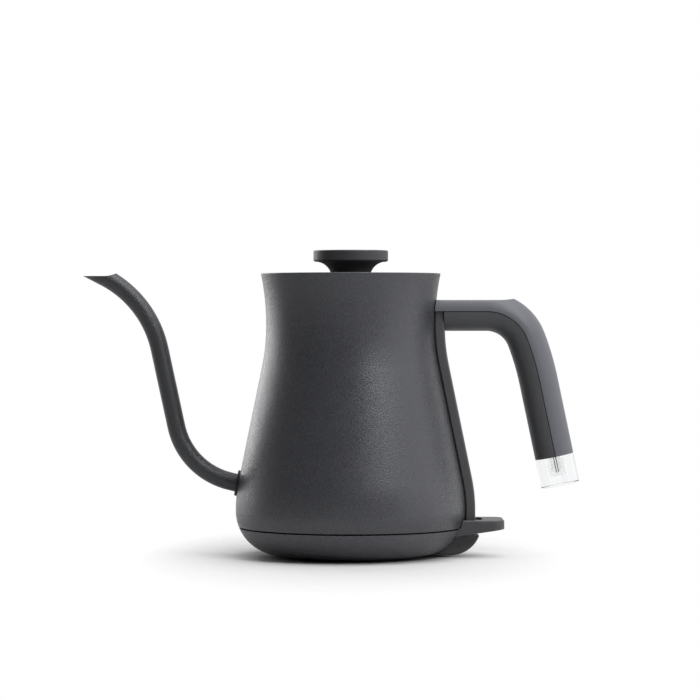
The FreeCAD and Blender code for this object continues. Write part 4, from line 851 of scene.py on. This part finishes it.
@dataclass
class Vessel(SubAssembly):
    """The coated steel body with its mouth ring and floor, and a fill mark on its inner wall.

    Attributes:
        mark_height: The height of the fill mark over the table.
        mark_radius: The inner wall's radius there.
        mark_lean: The wall's slope there, from upright.
        mark_section: The mark's thickness and height.
        mark_sink: How deep it is set into the wall.
        mark_middle: The angle at the mark's middle, from the handle.
        mark_sweep: The angle that it covers.
        mark_steps: How many runs its bend has.
        mark_edge: The radius of its rounded edges.
    """

    name = "vessel"
    nodes = ("body_shell", "mouth_ring", "floor_plate")
    mark_height: float = 0.085
    mark_radius: float = 0.0512836
    mark_lean: float = math.atan(0.2042)
    mark_section: tuple[float, float] = (0.0006, 0.0016)
    mark_sink: float = 0.0001
    mark_middle: float = math.radians(90)
    mark_sweep: float = math.radians(26)
    mark_steps: int = 32
    mark_edge: float = 0.0002

    def build(self, paints: Paintbox) -> None:
        """Models the fill mark, a raised bar bent to the wall.

        Args:
            paints: Where the materials come from.
        """
        bpy.ops.object.select_all(action="DESELECT")
        bpy.ops.mesh.primitive_plane_add(size=1.0)
        mark = self.open_piece("fill_mark")
        self.place_section()
        bpy.ops.mesh.delete(type="ONLY_FACE")
        bpy.ops.mesh.select_all(action="SELECT")
        bpy.ops.mesh.spin(
            steps=self.mark_steps, angle=self.mark_sweep, center=ORIGIN, axis=(0.0, 0.0, -1.0),
        )
        self.close_ends()
        bpy.ops.object.mode_set(mode="OBJECT")
        self.round_edges(mark, self.mark_edge)
        self.seat(mark, "inner_steel", paints)

    def place_section(self) -> None:
        """Shapes the selected square into the mark's section, where the mark starts."""
        width, depth = self.mark_section
        bpy.ops.transform.resize(value=(width, depth, 1.0))
        self.turn(QUARTER_TURN, "X")
        self.turn(self.mark_lean, "Y")
        radius = self.mark_radius + self.mark_sink - width / 2
        bpy.ops.transform.translate(value=(radius, 0.0, self.mark_height))
        self.turn(self.mark_sweep / 2 - self.mark_middle, "Z")


@dataclass
class Spout(SubAssembly):
    """The gooseneck and the collar at its root."""

    name = "spout"
    nodes = ("spout", "spout_collar")
    # The collar's darker coat is painted shade at the spout's root.
    finishes = {"spout_collar": "collar_coat"}


@dataclass
class Lid(SubAssembly):
    """The lift-off lid and its knob."""

    name = "lid"
    nodes = (
        "lid_plate", "lid_gasket", "lid_pan", "knob_washer", "knob_stem", "knob_cap", "knob_screw",
    )


@dataclass
class Heater(SubAssembly):
    """The element under the vessel's floor."""

    name = "heater"
    nodes = ("heat_spreader", "heating_element", "element_terminals", "base_posts")


@dataclass
class Base(SubAssembly):
    """The moulded skirt, its cover and its foot."""

    name = "base"
    nodes = ("lower_housing", "seam_gasket", "base_cover", "foot_ring", "base_screws")


@dataclass
class Inlet(SubAssembly):
    """The round socket in the kettle's underside."""

    name = "inlet"
    nodes = ("connector_socket", "connector_contacts")


@dataclass
class Control(SubAssembly):
    """The thermal control over the inlet, with a coiled spring over the plunger.

    Attributes:
        spring_wire: The radius of the spring's wire.
        spring_sides: How many sides the wire's section has.
        spring_half_turns: How many half turns the coil has.
        spring_steps: How many runs each half turn has.
        plunger_rise: How far the plunger rises under the spring; not used.
    """

    name = "control"
    nodes = (
        "control_block", "control_screws", "dry_boil_discs", "contact_cover", "fixed_contacts",
        "contact_plunger", "contact_bridge", "plunger_spring",
    )
    spring_wire: float = 0.0003
    spring_sides: int = 12
    spring_half_turns: int = 5
    spring_steps: int = 16
    plunger_rise: float = 0.00135

    def build(self, paints: Paintbox) -> None:
        """Models the spring as a coil of wire, in place of the CAD one, which it hides.

        Args:
            paints: Where the materials come from.
        """
        low, high = (Vector(corner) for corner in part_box("plunger_spring"))
        spring = self.wind_spring(low, high)
        self.seat(spring, paints.slots["plunger_spring"], paints)
        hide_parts("plunger_spring")
        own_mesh(spring)

    def wind_spring(self, low: Vector, high: Vector) -> bpy.types.Object:
        """Winds a coil of round wire.

        Args:
            low: The lower corner of the room that it fills.
            high: The upper corner of that room.

        Returns:
            The spring's object.
        """
        bpy.ops.object.select_all(action="DESELECT")
        bpy.ops.mesh.primitive_circle_add(vertices=self.spring_sides, radius=self.spring_wire)
        spring = self.open_piece("contact_spring")
        self.turn(QUARTER_TURN, "X")
        radius = (high.x - low.x) / 2 - self.spring_wire
        bpy.ops.transform.translate(value=(radius, 0.0, low.z + self.spring_wire))
        bpy.ops.object.mode_set(mode="OBJECT")
        coil = spring.modifiers.new("coil", "SCREW")
        coil.angle = math.pi
        coil.iterations = self.spring_half_turns
        coil.screw_offset = (high.z - low.z - 2 * self.spring_wire) / self.spring_half_turns
        coil.steps = coil.render_steps = self.spring_steps
        bpy.ops.object.modifier_apply(modifier=coil.name)
        bpy.ops.object.mode_set(mode="EDIT")
        self.close_ends()
        bpy.ops.mesh.select_all(action="SELECT")
        bpy.ops.transform.translate(value=((low.x + high.x) / 2, (low.y + high.y) / 2, 0.0))
        bpy.ops.object.mode_set(mode="OBJECT")
        bpy.ops.object.shade_smooth_by_angle(angle=SMOOTH_ANGLE)
        return spring


@dataclass
class Switch(SubAssembly):
    """The lever at the back and the steam switch behind it."""

    name = "switch"
    nodes = ("switch_lever", "lever_pin", "tail_housing", "bimetal_carrier", "steam_bimetal")


@dataclass
class Spine(SubAssembly):
    """The cover down the back, over the steam tube and the lamp's leads."""

    name = "spine"
    nodes = ("spine_cover", "steam_tube", "steam_grommet", "lamp_leads")


@dataclass
class Handle(SubAssembly):
    """The two shells of the handle on their bracket."""

    name = "handle"
    nodes = ("handle_top_shell", "handle_under_shell", "handle_bracket", "handle_screws")


@dataclass
class Lamp(SubAssembly):
    """The clear cap on the handle's end, with the lamp in it.

    The bulb and its wires reach further into the cap than the CAD ones, which they stand for.

    Attributes:
        grip_lean: The grip's lean from upright.
        foot: From the middle of the CAD wires up to the lamp's foot.
        wire_radius: The wires' radius.
        wire_spread: From the middle of one wire to the other's.
        wire_tip: From the middle of the CAD wires down to the wires' tips.
        wire_sides: How many sides a wire has.
        bulb_radius: The bulb's radius.
        bulb_wall: The thickness of its glass.
        bulb_tip: From the middle of the CAD wires down to the end of the bulb's dome.
        bulb_pip: The height of the drawn tip on the dome.
        bulb_sides: How many sides the bulb has.
        dome_rings: How many rings its dome has.
        dome_angle: The widest angle between faces that the glass smooths over.
    """

    name = "lamp"
    nodes = ("lamp_cap", "lamp_bulb", "lamp_electrodes", "lamp_holder")
    grip_lean: float = math.radians(11.85)
    foot: float = 0.00615
    wire_radius: float = 0.0003
    wire_spread: float = 0.0012
    wire_tip: float = 0.0087
    wire_sides: int = 16
    bulb_radius: float = 0.0031
    bulb_wall: float = 0.00045
    bulb_tip: float = 0.0096
    bulb_pip: float = 0.0005
    bulb_sides: int = 48
    dome_rings: int = 10
    dome_angle: float = math.radians(60)

    def build(self, paints: Paintbox) -> None:
        """Models the bulb and its wires.

        Args:
            paints: Where the materials come from.
        """
        low, high = (Vector(corner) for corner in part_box("lamp_electrodes"))
        for model, node in ((self.draw_wires, "lamp_electrodes"), (self.blow_bulb, "lamp_bulb")):
            piece = model()
            self.lean_into_grip((low + high) / 2)
            self.seat(piece, paints.slots[node], paints)
            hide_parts(node)

    def draw_wires(self) -> bpy.types.Object:
        """Draws two straight wires with rounded ends.

        Returns:
            The wires' object, upright, with the middle of the CAD wires at the origin.
        """
        bpy.ops.object.select_all(action="DESELECT")
        bpy.ops.mesh.primitive_circle_add(
            vertices=self.wire_sides, radius=self.wire_radius, fill_type="NGON",
        )
        wires = self.open_piece("lamp_wires")
        bpy.ops.transform.translate(value=(self.wire_spread / 2, 0.0, self.foot))
        self.draw_down(self.foot + self.wire_tip)
        bpy.ops.mesh.select_all(action="SELECT")
        aside = (-self.wire_spread, 0.0, 0.0)
        bpy.ops.mesh.duplicate_move(TRANSFORM_OT_translate={"value": aside})
        self.face_outwards()
        bpy.ops.object.mode_set(mode="OBJECT")
        self.round_edges(wires, self.wire_radius / 2)
        return wires

    def blow_bulb(self) -> bpy.types.Object:
        """Blows a thin tube with a domed end and a drawn tip.

        Returns:
            The bulb's object, upright, with the middle of the CAD wires at the origin.
        """
        bpy.ops.object.select_all(action="DESELECT")
        bpy.ops.mesh.primitive_circle_add(vertices=self.bulb_sides, radius=self.bulb_radius)
        bulb = self.open_piece("lamp_tube")
        bpy.ops.transform.translate(value=(0.0, 0.0, self.foot))
        self.draw_down(self.foot + self.bulb_tip - self.bulb_radius)
        turns = [QUARTER_TURN * ring / self.dome_rings for ring in range(self.dome_rings)]
        for last, turn in zip(turns, turns[1:]):
            self.draw_down(self.bulb_radius * (math.sin(turn) - math.sin(last)))
            share = math.cos(turn) / math.cos(last)
            bpy.ops.transform.resize(value=(share, share, 1.0), center_override=ORIGIN)
        self.draw_down(self.bulb_pip)
        bpy.ops.mesh.merge(type="CENTER")
        self.face_outwards()
        bpy.ops.object.mode_set(mode="OBJECT")
        glass = bulb.modifiers.new("glass", "SOLIDIFY")
        glass.thickness = self.bulb_wall
        bpy.ops.object.modifier_apply(modifier=glass.name)
        bpy.ops.object.shade_smooth_by_angle(angle=self.dome_angle)
        return bulb

    def lean_into_grip(self, middle: Vector) -> None:
        """Leans the new piece with the grip and moves it to its place.

        Args:
            middle: The middle of the CAD wires.
        """
        bpy.ops.object.mode_set(mode="EDIT")
        bpy.ops.mesh.select_all(action="SELECT")
        self.turn(self.grip_lean, "Y")
        bpy.ops.transform.translate(value=middle)
        bpy.ops.object.mode_set(mode="OBJECT")


# Studio


@dataclass
class SoftBox:
    """A rectangular studio lamp behind a diffuser.

    Attributes:
        name: The lamp's name.
        place: Where it hangs.
        aim: The point that it faces.
        width: Its width.
        height: Its height.
        power: Its power, in watts.
    """

    name: str
    place: Point
    aim: Point
    width: float
    height: float
    power: float

    def hang(self) -> None:
        """Adds the lamp to the scene."""
        lamp = bpy.data.lights.new(self.name, "AREA")
        lamp.shape = "RECTANGLE"
        lamp.size = self.width
        lamp.size_y = self.height
        lamp.energy = self.power
        holder = bpy.data.objects.new(self.name, lamp)
        holder.location = self.place
        gaze = Vector(self.aim) - Vector(self.place)
        holder.rotation_euler = gaze.to_track_quat("-Z", "Y").to_euler()
        holder.visible_camera = False
        holder.visible_transmission = False
        bpy.context.scene.collection.objects.link(holder)


@dataclass
class Surroundings:
    """A white room that is lit behind the kettle and dim behind the camera.

    Attributes:
        back_level: How bright its back half is in mirrors and through glass.
        front_level: How bright its front half is in mirrors.
        clear_level: How bright its darkest part is through clear pieces.
        turn: The forward parts of a direction between which it goes from front to back.
        light_share: How much of that brightness lights matt surfaces.
    """

    back_level: float = 1.0
    front_level: float = 0.14
    clear_level: float = 0.93
    turn: Span = (0.12, 0.6)
    light_share: float = 0.5

    def build(self) -> None:
        """Makes the world: plain white to the camera, and this room to everything else."""
        world = bpy.data.worlds.new("white_sweep")
        bpy.context.scene.world = world
        world.use_nodes = True
        board = NodeBoard(world.node_tree)
        rays = board.add("ShaderNodeLightPath").outputs
        through = rays["Is Transmission Ray"]
        mirrored = board.maths("MAXIMUM", rays["Is Glossy Ray"], through)
        share = board.maths("MAXIMUM", mirrored, self.light_share)
        room = board.maths("MULTIPLY", self.level(board), share)
        clear = board.maths("MULTIPLY", through, self.clear_level)
        seen = board.maths("MAXIMUM", clear, rays["Is Camera Ray"])
        white = board.add("ShaderNodeBackground")
        white.inputs["Color"].default_value = (1.0, 1.0, 1.0, 1.0)
        board.join(board.maths("MAXIMUM", room, seen), white.inputs["Strength"])
        output = board.add("ShaderNodeOutputWorld")
        board.join(white.outputs[0], output.inputs["Surface"])

    def level(self, board: NodeBoard) -> Socket:
        """Grades the room from its front to its back.

        Args:
            board: The world's node tree.

        Returns:
            The room's brightness in a direction.
        """
        way = board.add("ShaderNodeTexCoord").outputs["Generated"]
        split = board.add("ShaderNodeSeparateXYZ")
        board.join(way, split.inputs[0])
        levels = (self.front_level, self.back_level)
        return board.span(split.outputs["Y"], *levels, *self.turn, shape="SMOOTHSTEP")


@dataclass
class Studio:
    """A white sweep, soft lamps above and around it, and a long lens in front of the kettle.

    Attributes:
        camera_distance: From the kettle's axis to the camera.
        camera_height: The lens's height over the table.
        camera_reach: How far the camera sees.
        aim: The point at the picture's middle.
        picture_width: The width of the picture in the plane of the kettle's axis.
        sensor: The camera's sensor width, in millimetres.
        floor_radius: The floor's reach.
        floor_sides: How many sides its round edge has.
        floor_shade: How light the floor looks.
        floor_bounce: How light it is to the light that falls on it.
        floor_fade: The radii between which the floor fades out to either side.
        floor_length: How many times longer that fading is towards the camera.
        lamps: The studio lamps.
    """

    camera_distance: float = 1.6
    camera_height: float = 0.134
    camera_reach: float = 20.0
    aim: Point = (-0.0004, 0.0, 0.1125)
    picture_width: float = 0.3815
    sensor: float = 36.0
    floor_radius: float = 3.0
    floor_sides: int = 96
    floor_shade: float = 0.53
    floor_bounce: float = 0.62
    floor_fade: Span = (0.05, 0.115)
    floor_length: float = 1.9
    lamps: tuple[SoftBox, ...] = (
        SoftBox("top_box", (0.3, -0.2, 1.4), ORIGIN, width=1.3, height=1.3, power=23.0),
        SoftBox("right_box", (0.97, -0.1, 0.45), (0.0, 0.0, 0.1), width=1.4, height=1.2, power=6.5),
        SoftBox("left_box", (-0.8, 0.89, 0.6), (0.0, 0.0, 0.2), width=0.9, height=1.1, power=7.9),
        SoftBox(
            "front_box", (0.67, -0.83, 0.85), (0.0, 0.0, 0.1), width=0.36, height=0.36, power=6.8,
        ),
    )

    def build(self) -> None:
        """Sets up the floor, the surroundings, the lamps and the camera."""
        bpy.context.scene.view_settings.view_transform = "Standard"
        self.lay_floor()
        Surroundings().build()
        for lamp in self.lamps:
            lamp.hang()
        self.set_camera()

    def lay_floor(self) -> None:
        """Lays a round white floor that the camera sees fade into the white surroundings."""
        bpy.ops.object.select_all(action="DESELECT")
        bpy.ops.mesh.primitive_circle_add(
            vertices=self.floor_sides, radius=self.floor_radius, fill_type="NGON",
        )
        floor = bpy.context.object
        floor.name = "floor"
        floor.data.materials.append(self.floor_material())

    def floor_material(self) -> bpy.types.Material:
        """Builds the floor's paper white.

        Returns:
            The material.
        """
        board = MaterialBoard("paper_white")
        rays = board.add("ShaderNodeLightPath").outputs
        seen = board.maths("MAXIMUM", rays["Is Camera Ray"], rays["Is Transmission Ray"])
        paper = board.add("ShaderNodeBsdfDiffuse")
        white = board.span(seen, self.floor_bounce, self.floor_shade, 0.0, 1.0)
        board.join(white, paper.inputs["Color"])
        clear = board.add("ShaderNodeBsdfTransparent")
        reach = board.add("ShaderNodeVectorMath", operation="LENGTH")
        board.join(board.stretched((1.0, 1 / self.floor_length, 1.0)), reach.inputs[0])
        faded = board.span(reach.outputs["Value"], 0.0, 1.0, *self.floor_fade)
        mix = board.add("ShaderNodeMixShader")
        board.join(board.maths("MULTIPLY", faded, seen), mix.inputs["Fac"])
        board.join(paper.outputs[0], mix.inputs[1])
        board.join(clear.outputs[0], mix.inputs[2])
        board.end_in(mix)
        return board.material

    def set_camera(self) -> None:
        """Stands a long lens in front of the kettle, a little above its middle."""
        lens = bpy.data.cameras.new("camera")
        lens.sensor_width = self.sensor
        lens.lens = self.sensor * self.camera_distance / self.picture_width
        lens.clip_end = self.camera_reach
        camera = bpy.data.objects.new("camera", lens)
        camera.location = (self.aim[0], -self.camera_distance, self.camera_height)
        gaze = Vector(self.aim) - camera.location
        camera.rotation_euler = gaze.to_track_quat("-Z", "Y").to_euler()
        bpy.context.scene.collection.objects.link(camera)
        bpy.context.scene.camera = camera


def main() -> None:
    """Loads the frame, builds and dresses each sub-assembly, and sets up the studio."""
    logging.basicConfig(level=logging.INFO, format="%(name)s: %(message)s")
    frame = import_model()
    paints = Paintbox(frame["record"])
    groups = (
        Vessel(), Spout(), Lid(), Heater(), Base(), Inlet(), Control(), Switch(), Spine(),
        Handle(), Lamp(),
    )
    for group in groups:
        group.dress(frame["nodes"], paints)
        group.build(paints)
    Studio().build()


if __name__ == "__main__":
    main()
